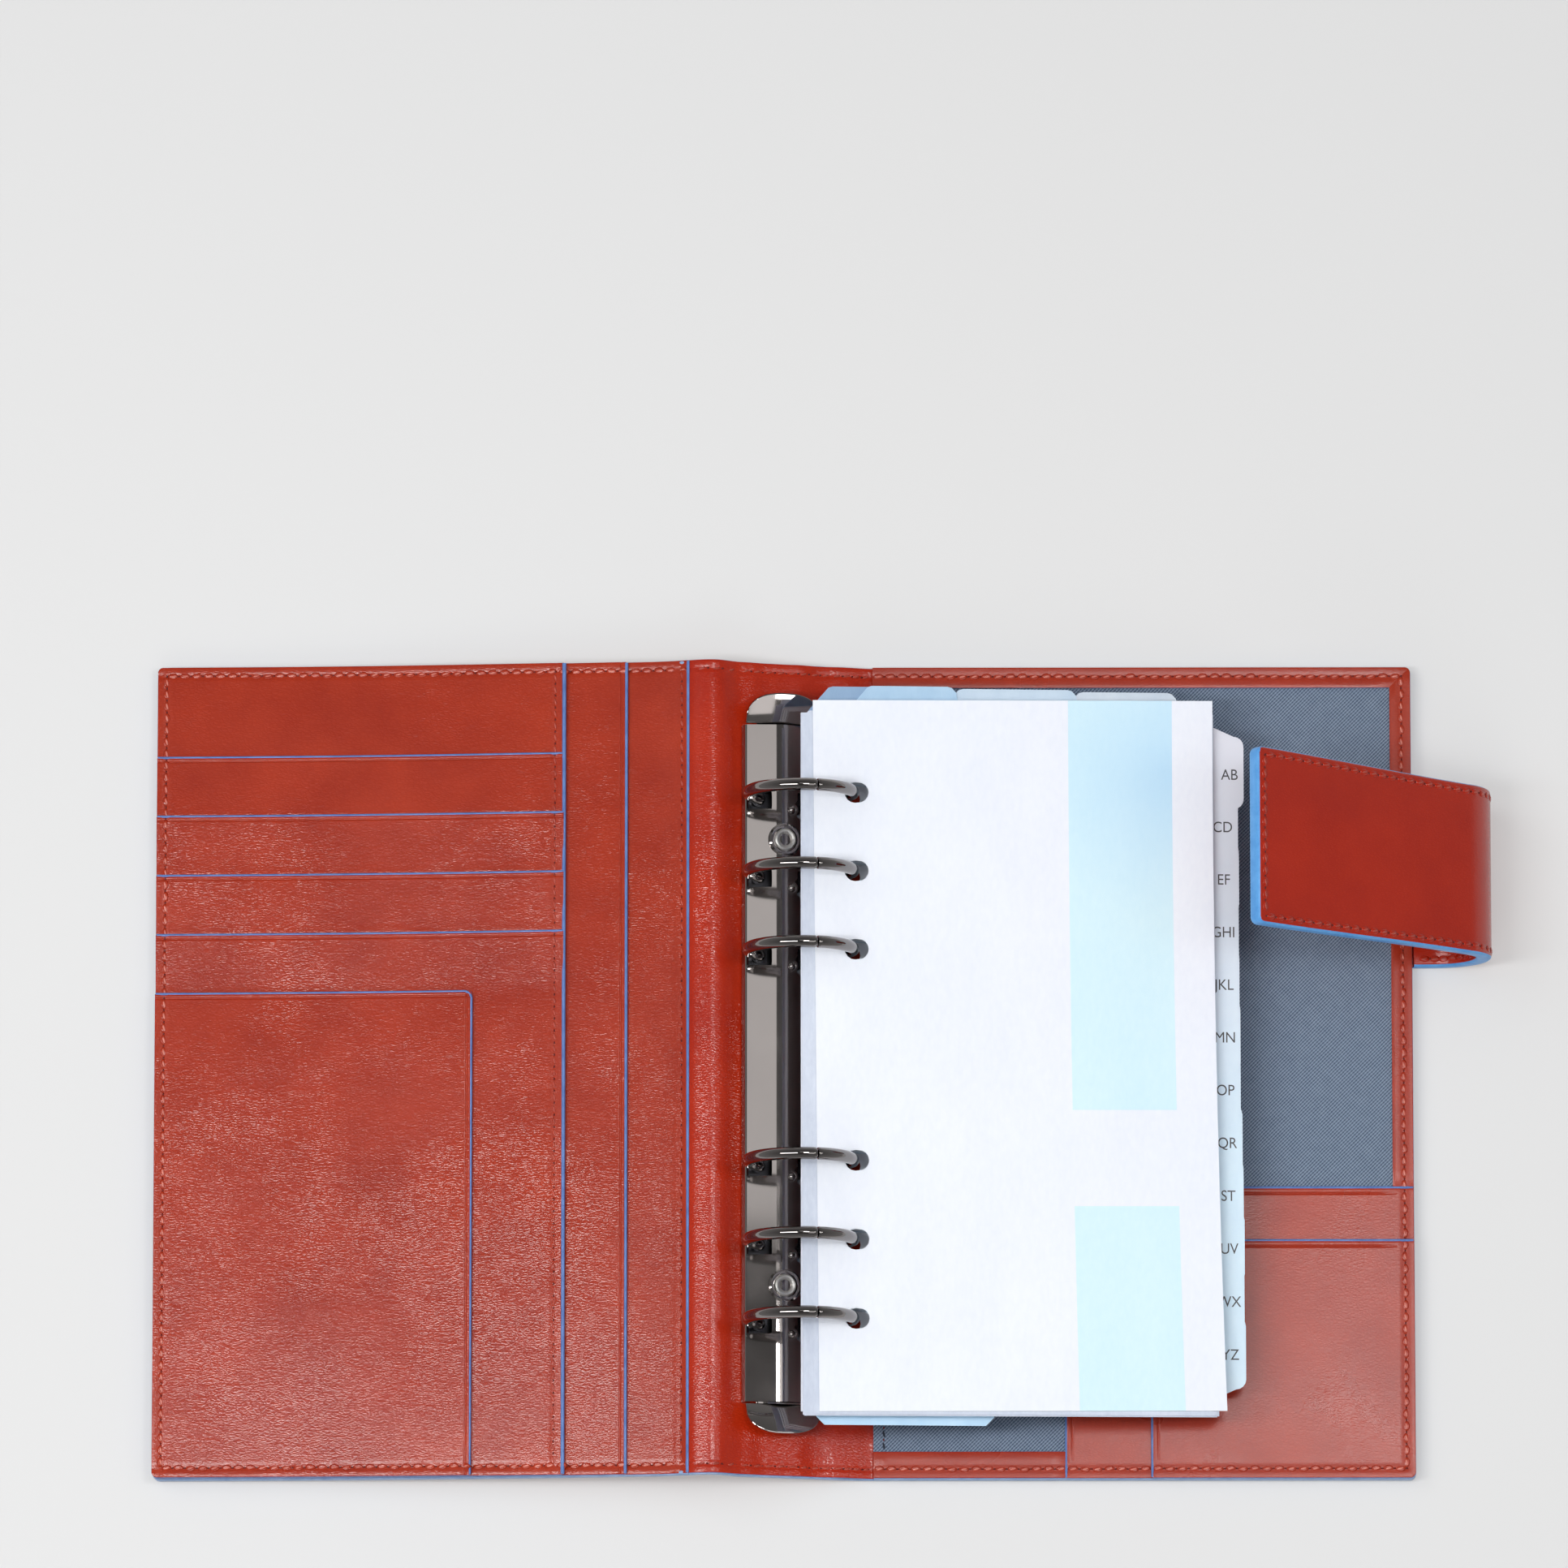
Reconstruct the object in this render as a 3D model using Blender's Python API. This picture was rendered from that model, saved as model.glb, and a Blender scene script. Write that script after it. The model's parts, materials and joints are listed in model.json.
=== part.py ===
"""Six-ring personal organizer lying open: leather covers, ring mechanism, refill and strap."""

import math

import bmesh
import bpy
from mathutils import Matrix

# Covers. The origin is the middle of the back cover's underside.
COVER_HEIGHT = 0.1955
BACK_WIDTH = 0.1333
FRONT_WIDTH = 0.1333
SPINE_WIDTH = 0.036
SPINE_TILT = math.radians(17.8)
CORNER_RADIUS = 0.002
HINGE_GAP = 0.0009
HINGE_CLEARANCE = 0.0003

# Layers of a cover, counted from its outer face.
OUTER_LEATHER = 0.0012
BOARD = 0.0008
PANEL = 0.0007
LINING = 0.0004
LAYER_GAP = 0.00015
BOARD_INSET = 0.004
HINGE_STRIP = 0.008

# Front cover pockets, stepping back from the hinge edge, with the card pockets measured from the top.
HINGE_MARGIN = 0.0048
PANEL_STEP = 0.015
SLIP_POCKET_STEP = 0.0222
CARD_POCKET_TOP = 0.0222
CARD_POCKET_PITCH = 0.01445
CARD_POCKET_TUCK = 0.005
CARD_POCKETS = 4

# Back cover lining, border and corner pockets.
LINING_START = 0.0035
BORDER_WIDTH = 0.005
LARGE_POCKET = (0.0836, 0.0687)
SMALL_POCKET = (0.0630, 0.0558)

# Strap, along its own path from the cover's edge.
STRAP_WIDTH = 0.041
STRAP_OFFSET = 0.045
STRAP_LEATHER = 0.0018
STRAP_RUN = 0.0027
STRAP_TONGUE = 0.018
STRAP_BEND_RADIUS = 0.0105
STRAP_LIFT = 0.0002
STRAP_TIP_ANGLE = math.radians(142)
STRAP_TIP_LENGTH = 0.0655
MAGNET_RADIUS = 0.008
MAGNET_THICKNESS = 0.0009
MAGNET_FROM_TIP = 0.016

# Ring mechanism, above its seat on the spine's inner leather.
MECHANISM_OFFSET = 0.019
HOUSING_WIDTH = 0.019
HOUSING_LENGTH = 0.164
HOUSING_HEIGHT = 0.005
HOUSING_SIDE = 0.0029
HOUSING_WALL = 0.0008
HOUSING_FOOT = 0.0002
RING_RADIUS = 0.0125
WIRE_RADIUS = 0.0015
RING_HEIGHT = 0.0174
RING_PITCH = 0.019
RING_MIDDLE_GAP = 0.051
RING_SPLIT = 0.0003
RING_OPENING = math.radians(7.5)
FOOT_START = math.radians(222)
FOOT_OFFSET = 0.0063
SLOT_INNER = 0.0034
SLOT_OUTER = 0.0086
SLOT_HALF_LENGTH = 0.0024
BLADE_THICKNESS = 0.0008
BLADE_HEIGHT = 0.0023
BLADE_PIVOT = 0.0083
BLADE_INSET = 0.007
RIVET_HEAD = 0.0027
RIVET_SHANK = 0.0018
RIVET_BORE = 0.0013
RIVET_HEAD_HEIGHT = 0.0007
FIT = 0.00025

# End levers, about their pins.
LEVER_PIVOT_INSET = 0.003
LEVER_PIVOT_HEIGHT = 0.0018
LEVER_BARREL = 0.0014
LEVER_WIDTH = 0.0164
LEVER_TONGUE_WIDTH = 0.005
LEVER_TONGUE = 0.0058
LEVER_PLATE = 0.0009
LEVER_TAB_REACH = 0.0085
LEVER_TAB_RISE = 0.0052
LEVER_CORNER = 0.004
LEVER_PIN = 0.0007
LEVER_PLAY = 0.00008

# Refill, about the ring axis.
PAGE_SLOPE = math.radians(4.0)
PAGE_WIDTH = 0.096
PAGE_HEIGHT = 0.1695
TITLE_LEFT = 0.0033
TITLE_LEVEL = 0.0005
TITLE_THICKNESS = 0.0004
HOLE_RADIUS = 0.003
HOLE_SIDES = 12
SHEET_GAP = 0.0002
NOTE_THICKNESS = 0.0013
NOTE_SHIFT = 0.0004
INDEX_THICKNESS = 0.0003
INDEX_GROUPS = 4
INDEX_TABS = 3
INDEX_TAB_REACH = 0.0078
INDEX_DROP = 0.0113
INDEX_PITCH = 0.01274
INDEX_TAB_GAP = 0.0006
INDEX_SHIFT = -0.0012
DIVIDER_THICKNESS = 0.0003
DIVIDER_TAB_RISE = 0.003
DIVIDER_SHIFT = -0.0016
DIVIDER_TAB_WIDTH = 0.0215
DIVIDER_TAB_PITCH = 0.0222
DIVIDER_TAB_START = 0.0008
DIVIDERS = 2
MARKER_TAB_DROP = 0.0026
MARKER_WIDTH = 0.044
MARKER_CHAMFER = 0.0015
DIARY_SHIFT = -0.0026
DIARY_LEFT_DEPTH = 0.0085
DIARY_RIGHT_DEPTH = 0.0132

# Levels that follow from the sizes above.
BOARD_LEVEL = OUTER_LEATHER + LAYER_GAP
PANEL_LEVEL = BOARD_LEVEL + BOARD + LAYER_GAP
LAYER_STEP = PANEL + LAYER_GAP
HINGE_HEIGHT = PANEL_LEVEL + PANEL + HINGE_CLEARANCE
FRONT_EDGE = -(FRONT_WIDTH + HINGE_GAP)
BASE_PANEL_WIDTH = FRONT_WIDTH - HINGE_MARGIN
SIDE_POCKET_WIDTH = BASE_PANEL_WIDTH - PANEL_STEP
CARD_PANEL_WIDTH = SIDE_POCKET_WIDTH - PANEL_STEP
SLIP_POCKET_WIDTH = CARD_PANEL_WIDTH - SLIP_POCKET_STEP
BACK_EDGE = BACK_WIDTH / 2
HALF_HEIGHT = COVER_HEIGHT / 2
STRAP_THICKNESS = 2 * STRAP_LEATHER + LAYER_GAP
STRAP_LOW = STRAP_OFFSET - STRAP_WIDTH / 2
STRAP_HIGH = STRAP_OFFSET + STRAP_WIDTH / 2
STRAP_FOLD = STRAP_TIP_ANGLE / 2
LEVER_PLACE = HOUSING_LENGTH / 2 - LEVER_PIVOT_INSET
BLADE_REACH = HOUSING_LENGTH / 2 - BLADE_INSET
RING_INNER = RING_MIDDLE_GAP / 2
RING_HALF = (RING_INNER + 2 * RING_PITCH, RING_INNER + RING_PITCH, RING_INNER)
RING_PLACES = RING_HALF + tuple(-place for place in reversed(RING_HALF))
RIVET_PLACE = RING_INNER + 1.5 * RING_PITCH
SEAT_LEVEL = PANEL_LEVEL + PANEL + LAYER_GAP


def clear_scene():
    for item in list(bpy.data.objects):
        bpy.data.objects.remove(item, do_unlink=True)


def make_material(name, color, roughness, metallic=0.0):
    material = bpy.data.materials.new(name)
    material.use_nodes = True
    shader = material.node_tree.nodes["Principled BSDF"]
    shader.inputs["Base Color"].default_value = (*color, 1.0)
    shader.inputs["Roughness"].default_value = roughness
    shader.inputs["Metallic"].default_value = metallic
    return material


def make_frame(name, parent=None, location=(0, 0, 0), rotation=(0, 0, 0)):
    frame = bpy.data.objects.new(name, None)
    frame.empty_display_size = 0.01
    frame.parent = parent
    frame.location = location
    frame.rotation_euler = rotation
    bpy.context.scene.collection.objects.link(frame)
    return frame


def add_mesh(name, mesh_data, material, frame, location=(0, 0, 0)):
    mesh = bpy.data.meshes.new(name)
    bmesh.ops.recalc_face_normals(mesh_data, faces=mesh_data.faces)
    mesh_data.to_mesh(mesh)
    mesh_data.free()
    item = bpy.data.objects.new(name, mesh)
    if material:
        mesh.materials.append(material)
    item.parent = frame
    item.location = location
    bpy.context.scene.collection.objects.link(item)
    return item


def rounded_rectangle(x0, x1, y0, y1, radii, steps=4):
    """Outline with one corner radius each for lower left, lower right, upper right, upper left."""
    corners = [(x0, y0, 180), (x1, y0, 270), (x1, y1, 0), (x0, y1, 90)]
    points = []
    for (x, y, start), radius in zip(corners, radii):
        if radius == 0:
            points.append((x, y))
            continue
        cx = x + (radius if x == x0 else -radius)
        cy = y + (radius if y == y0 else -radius)
        for step in range(steps + 1):
            angle = math.radians(start + 90 * step / steps)
            points.append((cx + radius * math.cos(angle), cy + radius * math.sin(angle)))
    return points


def prism(outline, low, high, plane="XY"):
    """Straight solid on an outline, drawn in XY and raised in Z, or drawn in XZ and raised in Y."""
    data = bmesh.new()
    rings = []
    for level in (low, high):
        if plane == "XY":
            rings.append([data.verts.new((a, b, level)) for a, b in outline])
        elif plane == "XZ":
            rings.append([data.verts.new((a, level, b)) for a, b in outline])
        else:
            rings.append([data.verts.new((level, a, b)) for a, b in outline])
    bottom, top = rings
    data.faces.new(bottom)
    data.faces.new(reversed(top))
    count = len(outline)
    for index in range(count):
        after = (index + 1) % count
        data.faces.new((bottom[index], bottom[after], top[after], top[index]))
    return data


def rectangle(x0, x1, y0, y1):
    return [(x0, y0), (x1, y0), (x1, y1), (x0, y1)]


def circle(cx, cy, radius, sides):
    points = []
    for index in range(sides):
        angle = math.tau * (index + 0.5) / sides
        points.append((cx + radius * math.cos(angle), cy + radius * math.sin(angle)))
    return points


def merge(pieces):
    """One mesh from several, for a cutter made of separate solids."""
    joined = bmesh.new()
    for piece in pieces:
        scratch = bpy.data.meshes.new("scratch")
        bmesh.ops.recalc_face_normals(piece, faces=piece.faces)
        piece.to_mesh(scratch)
        piece.free()
        joined.from_mesh(scratch)
        bpy.data.meshes.remove(scratch)
    return joined


def boolean(target, name, pieces, operation="DIFFERENCE"):
    tool = add_mesh(name, merge(pieces), None, target.parent, target.location)
    tool.hide_render = True
    tool.display_type = "WIRE"
    modifier = target.modifiers.new(name, "BOOLEAN")
    modifier.operation = operation
    modifier.solver = "EXACT"
    modifier.object = tool
    return target


def turned(profile, sides, center=(0, 0)):
    """Ring-shaped solid from a closed (radius, height) outline turned about an upright axis."""
    data = bmesh.new()
    rows = []
    for index in range(sides):
        angle = math.tau * index / sides
        cos, sin = math.cos(angle), math.sin(angle)
        rows.append([data.verts.new((center[0] + r * cos, center[1] + r * sin, z)) for r, z in profile])
    count = len(profile)
    for index in range(sides):
        here, there = rows[index], rows[(index + 1) % sides]
        for step in range(count):
            after = (step + 1) % count
            data.faces.new((here[step], there[step], there[after], here[after]))
    return data


def build_front(frame, leather, board, steel):
    outer, inner = FRONT_EDGE, -HINGE_GAP
    rounded = (CORNER_RADIUS, 0, 0, CORNER_RADIUS)

    def layer(name, x0, x1, y0, y1, level, thickness, material, radii=(0, 0, 0, 0)):
        low = level - HINGE_HEIGHT
        outline = rounded_rectangle(x0, x1, y0, y1, radii)
        return add_mesh(name, prism(outline, low, low + thickness), material, frame)

    layer("front_outer_leather", outer, inner, -HALF_HEIGHT, HALF_HEIGHT, 0, OUTER_LEATHER, leather, rounded)
    hinge_end = inner - HINGE_STRIP
    stiff = layer("front_board", outer + BOARD_INSET, hinge_end - LAYER_GAP, BOARD_INSET - HALF_HEIGHT,
                  HALF_HEIGHT - BOARD_INSET, BOARD_LEVEL, BOARD, board)
    layer("front_hinge_leather", hinge_end, inner, -HALF_HEIGHT, HALF_HEIGHT, BOARD_LEVEL, BOARD, leather)
    keeper_x = outer + 2 * MAGNET_RADIUS + BOARD_INSET
    low = BOARD_LEVEL - HINGE_HEIGHT
    hole = prism(circle(keeper_x, STRAP_OFFSET, MAGNET_RADIUS + FIT, 24), low - BOARD, low + 2 * BOARD)
    boolean(stiff, "front_board_hole", [hole])
    disc = prism(circle(keeper_x, STRAP_OFFSET, MAGNET_RADIUS, 24), low, low + BOARD)
    add_mesh("front_keeper_plate", disc, steel, frame)

    levels = [PANEL_LEVEL + LAYER_STEP * index for index in range(5)]
    panels = (("front_base_panel", BASE_PANEL_WIDTH), ("front_side_pocket", SIDE_POCKET_WIDTH),
              ("front_card_panel", CARD_PANEL_WIDTH))
    for (name, width), level in zip(panels, levels):
        layer(name, outer, outer + width, -HALF_HEIGHT, HALF_HEIGHT, level, PANEL, leather, rounded)

    card_edge = outer + CARD_PANEL_WIDTH
    card_low = levels[3] - HINGE_HEIGHT
    for index in range(CARD_POCKETS - 1):
        top = HALF_HEIGHT - CARD_POCKET_TOP - CARD_POCKET_PITCH * index
        bottom = top - CARD_POCKET_PITCH - CARD_POCKET_TUCK
        lift = LAYER_STEP * (top - bottom) / CARD_POCKET_PITCH if index else 0
        section = [(bottom, card_low), (top, card_low + lift), (top, card_low + lift + PANEL),
                   (bottom, card_low + PANEL)]
        strip = prism(section, outer, card_edge, "YZ")
        add_mesh("card_pocket_%d" % (index + 1), strip, leather, frame)
    last_top = HALF_HEIGHT - CARD_POCKET_TOP - CARD_POCKET_PITCH * (CARD_POCKETS - 1)
    slope_end = last_top - CARD_POCKET_PITCH - CARD_POCKET_TUCK
    lift = LAYER_STEP * (last_top - slope_end) / CARD_POCKET_PITCH
    section = [(-HALF_HEIGHT, card_low), (slope_end, card_low), (last_top, card_low + lift),
               (last_top, card_low + lift + PANEL), (slope_end, card_low + PANEL),
               (-HALF_HEIGHT, card_low + PANEL)]
    panel = prism(section, outer, card_edge, "YZ")
    add_mesh("card_pocket_%d" % CARD_POCKETS, panel, leather, frame)

    slip_top = last_top - CARD_POCKET_PITCH
    slip_low = levels[4] - HINGE_HEIGHT
    tilt = lift * (slip_top - slope_end) / (last_top - slope_end)
    section = [(-HALF_HEIGHT, slip_low), (slope_end, slip_low), (slip_top, slip_low + tilt),
               (slip_top, slip_low + tilt + PANEL), (slope_end, slip_low + PANEL),
               (-HALF_HEIGHT, slip_low + PANEL)]
    slip = prism(section, outer, outer + SLIP_POCKET_WIDTH, "YZ")
    add_mesh("front_slip_pocket", slip, leather, frame)


def build_spine(frame, leather, steel):
    left, right = HINGE_GAP - SPINE_WIDTH, -HINGE_GAP
    outline = rectangle(left, right, -HALF_HEIGHT, HALF_HEIGHT)
    low = -HINGE_HEIGHT
    add_mesh("spine_outer_leather", prism(outline, low, low + OUTER_LEATHER), leather, frame)
    board_low = low + BOARD_LEVEL
    narrow = rectangle(left + HINGE_GAP, right - HINGE_GAP, BOARD_INSET - HALF_HEIGHT,
                       HALF_HEIGHT - BOARD_INSET)
    plate = add_mesh("spine_stiffener", prism(narrow, board_low, board_low + BOARD), steel, frame)
    panel_low = low + PANEL_LEVEL
    inner = add_mesh("spine_inner_leather", prism(outline, panel_low, panel_low + PANEL), leather, frame)
    holes = [[], []]
    for place in (RIVET_PLACE, -RIVET_PLACE):
        holes[0].append(prism(circle(-MECHANISM_OFFSET, place, RIVET_HEAD + FIT, 24),
                              board_low - BOARD, board_low + 2 * BOARD))
        holes[1].append(prism(circle(-MECHANISM_OFFSET, place, RIVET_SHANK + FIT, 24),
                              panel_low - PANEL, panel_low + 2 * PANEL))
    boolean(plate, "spine_stiffener_holes", holes[0])
    boolean(inner, "spine_leather_holes", holes[1])


def build_back(frame, leather, board, twill):
    inner, outer = -BACK_EDGE, BACK_EDGE
    rounded = (0, CORNER_RADIUS, CORNER_RADIUS, 0)

    def layer(name, outline, level, thickness, material):
        return add_mesh(name, prism(outline, level, level + thickness), material, frame)

    full = rounded_rectangle(inner, outer, -HALF_HEIGHT, HALF_HEIGHT, rounded)
    layer("back_outer_leather", full, 0, OUTER_LEATHER, leather)
    strip_end = inner + HINGE_STRIP
    strip = rectangle(inner, strip_end, -HALF_HEIGHT, HALF_HEIGHT)
    layer("back_hinge_leather", strip, BOARD_LEVEL, BOARD, leather)
    notch = outer - STRAP_TONGUE - LAYER_GAP
    low, high = BOARD_INSET - HALF_HEIGHT, HALF_HEIGHT - BOARD_INSET
    edge = outer - BOARD_INSET
    sides = (STRAP_OFFSET - STRAP_WIDTH / 2 - LAYER_GAP, STRAP_OFFSET + STRAP_WIDTH / 2 + LAYER_GAP)
    outline = [(strip_end + LAYER_GAP, low), (edge, low), (edge, sides[0]), (notch, sides[0]),
               (notch, sides[1]), (edge, sides[1]), (edge, high), (strip_end + LAYER_GAP, high)]
    layer("back_board", outline, BOARD_LEVEL, BOARD, board)
    cloth = rounded_rectangle(inner + LINING_START, outer, -HALF_HEIGHT, HALF_HEIGHT, rounded)
    layer("back_lining", cloth, PANEL_LEVEL, LINING, twill)

    border_level = PANEL_LEVEL + LINING + LAYER_GAP
    start = inner + LINING_START
    top, bottom = HALF_HEIGHT, -HALF_HEIGHT
    width = BORDER_WIDTH
    mitre = LAYER_GAP
    pocket_left = outer - LARGE_POCKET[0]
    pocket_top = bottom + LARGE_POCKET[1]
    strips = (("back_border_top", [(start, top - width), (outer - width - mitre, top - width),
                                   (outer - mitre, top), (start, top)]),
              ("back_border_right", [(outer - width, pocket_top + LAYER_GAP), (outer, pocket_top + LAYER_GAP),
                                     (outer, top - mitre), (outer - width, top - width - mitre)]),
              ("back_border_bottom", rectangle(start, pocket_left - LAYER_GAP, bottom, bottom + width)))
    for name, outline in strips:
        layer(name, outline, border_level, PANEL, leather)
    for name, size, step in (("back_large_pocket", LARGE_POCKET, 0), ("back_small_pocket", SMALL_POCKET, 1)):
        outline = rounded_rectangle(outer - size[0], outer, bottom, bottom + size[1],
                                    (0, CORNER_RADIUS, 0, 0))
        layer(name, outline, border_level + LAYER_STEP * step, PANEL, leather)


def strap_path(start, end, steps, offset):
    """Points on the bend between two angles, at a distance outward from the strap's inner face."""
    radius = STRAP_BEND_RADIUS + offset
    points = []
    for step in range(steps + 1):
        angle = start + (end - start) * step / steps
        points.append((radius * math.sin(angle), -radius * math.cos(angle)))
    return points


def build_strap(bend, tip, leather, steel):
    """The bend frame sits at the bend's centre, the tip frame on the outside of the fold."""
    part_line = HINGE_GAP / 2 / (STRAP_BEND_RADIUS + STRAP_THICKNESS)
    edge = BACK_EDGE - bend.location.x
    tongue_low = BOARD_LEVEL - bend.location.z
    tongue_high = tongue_low + BOARD
    sewn = edge + 2 * LAYER_GAP
    inner = strap_path(0, STRAP_FOLD - part_line, 6, 0)
    outer = strap_path(0, STRAP_FOLD - part_line, 6, STRAP_THICKNESS)
    outline = [(edge - STRAP_TONGUE, tongue_high), (sewn, tongue_high), (sewn, inner[0][1])]
    outline += inner + outer[::-1]
    outline += [(sewn, outer[0][1]), (sewn, tongue_low), (edge - STRAP_TONGUE, tongue_low)]
    add_mesh("strap_base", prism(outline, STRAP_LOW, STRAP_HIGH, "XZ"), leather, bend)

    heading = (math.cos(STRAP_TIP_ANGLE), math.sin(STRAP_TIP_ANGLE))

    def along(point, distance):
        """A point carried along the straight free end, in the tip frame."""
        x = point[0] + heading[0] * distance - tip.location.x
        z = point[1] + heading[1] * distance - tip.location.z
        return (x, z)

    def band(name, inside, outside):
        rows = []
        for offset in (inside, outside):
            bend_points = strap_path(STRAP_FOLD + part_line, STRAP_TIP_ANGLE, 6, offset)
            row = [along(point, 0) for point in bend_points]
            row.append(along(bend_points[-1], STRAP_TIP_LENGTH))
            rows.append(row)
        outline = rows[0] + rows[1][::-1]
        return add_mesh(name, prism(outline, STRAP_LOW, STRAP_HIGH, "XZ"), leather, tip)

    band("strap_face", STRAP_LEATHER + LAYER_GAP, STRAP_THICKNESS)
    lining = band("strap_lining", 0, STRAP_LEATHER)

    start = strap_path(STRAP_TIP_ANGLE, STRAP_TIP_ANGLE, 1, STRAP_LEATHER)[0]
    x, z = along(start, STRAP_TIP_LENGTH - MAGNET_FROM_TIP)
    seat = Matrix.Translation((x, STRAP_OFFSET, z)) @ Matrix.Rotation(-STRAP_TIP_ANGLE, 4, "Y")
    recess = prism(circle(0, 0, MAGNET_RADIUS + FIT, 24), -LAYER_GAP, MAGNET_THICKNESS + FIT)
    disc = prism(circle(0, 0, MAGNET_RADIUS, 24), FIT / 2, MAGNET_THICKNESS + FIT / 2)
    for data in (recess, disc):
        bmesh.ops.transform(data, matrix=seat, verts=data.verts)
    boolean(lining, "strap_magnet_recess", [recess])
    add_mesh("strap_magnet", disc, steel, tip)


def tube(path, radius, sides):
    """Round bar along a path in the XZ plane, closed at both ends."""
    data = bmesh.new()
    rows = []
    last = len(path) - 1
    for index, (x, z) in enumerate(path):
        before, after = path[max(index - 1, 0)], path[min(index + 1, last)]
        dx, dz = after[0] - before[0], after[1] - before[1]
        length = math.hypot(dx, dz)
        nx, nz = -dz / length, dx / length
        row = []
        for side in range(sides):
            angle = math.tau * side / sides
            out = radius * math.cos(angle)
            row.append(data.verts.new((x + nx * out, radius * math.sin(angle), z + nz * out)))
        rows.append(row)
    data.faces.new(rows[0])
    data.faces.new(reversed(rows[-1]))
    for here, there in zip(rows, rows[1:]):
        for side in range(sides):
            after = (side + 1) % sides
            data.faces.new((here[side], here[after], there[after], there[side]))
    return data


def ring_path():
    """Left half ring from its meeting face at the top down to its foot on the blade."""
    top = math.pi / 2 + RING_SPLIT / 2 / RING_RADIUS
    points = []
    for step in range(11):
        angle = top + (FOOT_START - top) * step / 10
        points.append((RING_RADIUS * math.cos(angle), RING_HEIGHT + RING_RADIUS * math.sin(angle)))
    start = points[-1]
    heading = (-math.sin(FOOT_START), math.cos(FOOT_START))
    end = (-FOOT_OFFSET, BLADE_HEIGHT + BLADE_THICKNESS / 2 + FIT)
    pull = 0.45 * math.dist(start, end)
    controls = (start, (start[0] + heading[0] * pull, start[1] + heading[1] * pull),
                (end[0], end[1] + pull), end)
    for step in range(1, 5):
        t = step / 4
        weights = ((1 - t) ** 3, 3 * t * (1 - t) ** 2, 3 * t * t * (1 - t), t ** 3)
        x = sum(weight * point[0] for weight, point in zip(weights, controls))
        z = sum(weight * point[1] for weight, point in zip(weights, controls))
        points.append((x, z))
    return points


def build_housing(seat, metal, steel):
    half, side = HOUSING_WIDTH / 2, HOUSING_SIDE
    outline = []
    for step in range(13):
        angle = math.pi * step / 12
        outline.append((half * math.cos(angle), side + (HOUSING_HEIGHT - side) * math.sin(angle)))
    outline += [(-half, HOUSING_FOOT), (HOUSING_WALL - half, HOUSING_FOOT)]
    for step in range(12, -1, -1):
        angle = math.pi * step / 12
        rise = (HOUSING_HEIGHT - side - HOUSING_WALL) * math.sin(angle)
        outline.append(((half - HOUSING_WALL) * math.cos(angle), side + rise))
    outline += [(half - HOUSING_WALL, HOUSING_FOOT), (half, HOUSING_FOOT)]
    shell = prism(outline, -HOUSING_LENGTH / 2, HOUSING_LENGTH / 2, "XZ")
    housing = add_mesh("ring_housing", shell, metal, seat)

    cuts = []
    above = 2 * HOUSING_HEIGHT
    for place in RING_PLACES:
        low, high = place - SLOT_HALF_LENGTH, place + SLOT_HALF_LENGTH
        cuts.append(prism(rectangle(SLOT_INNER, SLOT_OUTER, low, high), side, above))
        cuts.append(prism(rectangle(-SLOT_OUTER, -SLOT_INNER, low, high), side, above))
    for place in (RIVET_PLACE, -RIVET_PLACE):
        cuts.append(prism(circle(0, place, RIVET_SHANK + FIT, 24), side, above))
    for place in (LEVER_PLACE, -LEVER_PLACE):
        bore = circle(place, LEVER_PIVOT_HEIGHT, LEVER_PIN + FIT, 16)
        cuts.append(prism(bore, -HOUSING_WIDTH, HOUSING_WIDTH, "YZ"))
    boolean(housing, "ring_housing_cuts", cuts)

    for name, place in (("top", RIVET_PLACE), ("bottom", -RIVET_PLACE)):
        base = BOARD_LEVEL - SEAT_LEVEL
        head = HOUSING_HEIGHT + FIT / 2
        crown = head + RIVET_HEAD_HEIGHT
        profile = [(RIVET_BORE, base), (RIVET_HEAD, base), (RIVET_HEAD, base + BOARD),
                   (RIVET_SHANK, base + BOARD), (RIVET_SHANK, head), (RIVET_HEAD, head),
                   (RIVET_HEAD - FIT, crown), (RIVET_BORE, crown)]
        add_mesh("rivet_" + name, turned(profile, 24, (0, place)), steel, seat)
    for name, place in (("top", LEVER_PLACE), ("bottom", -LEVER_PLACE)):
        bar = circle(place, LEVER_PIVOT_HEIGHT, LEVER_PIN, 16)
        reach = HOUSING_WIDTH / 2 - FIT / 2
        add_mesh("lever_pin_" + name, prism(bar, -reach, reach, "YZ"), steel, seat)


def build_rings(frame, side, name, metal, steel):
    """Blade and six half rings about the blade's outer edge; side is -1 for left and 1 for right."""
    outer, inner = side * FIT, -side * (BLADE_PIVOT - FIT)
    x0, x1 = min(outer, inner), max(outer, inner)
    plate = prism(rectangle(x0, x1, -BLADE_REACH, BLADE_REACH), -BLADE_THICKNESS / 2, BLADE_THICKNESS / 2)
    blade = add_mesh(name + "_blade", plate, steel, frame)
    notches = []
    for place in (RIVET_PLACE, -RIVET_PLACE):
        notches.append(prism(circle(-side * BLADE_PIVOT, place, RIVET_SHANK + 3 * FIT, 24),
                             -2 * BLADE_THICKNESS, 2 * BLADE_THICKNESS))
    boolean(blade, name + "_blade_notches", notches)
    path = [(-side * x - side * BLADE_PIVOT, z - BLADE_HEIGHT) for x, z in ring_path()]
    for number, place in enumerate(RING_PLACES, 1):
        bar = tube(path, WIRE_RADIUS, 8)
        add_mesh("ring_%s_%d" % (name, number), bar, metal, frame, (0, place, 0))


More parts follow.
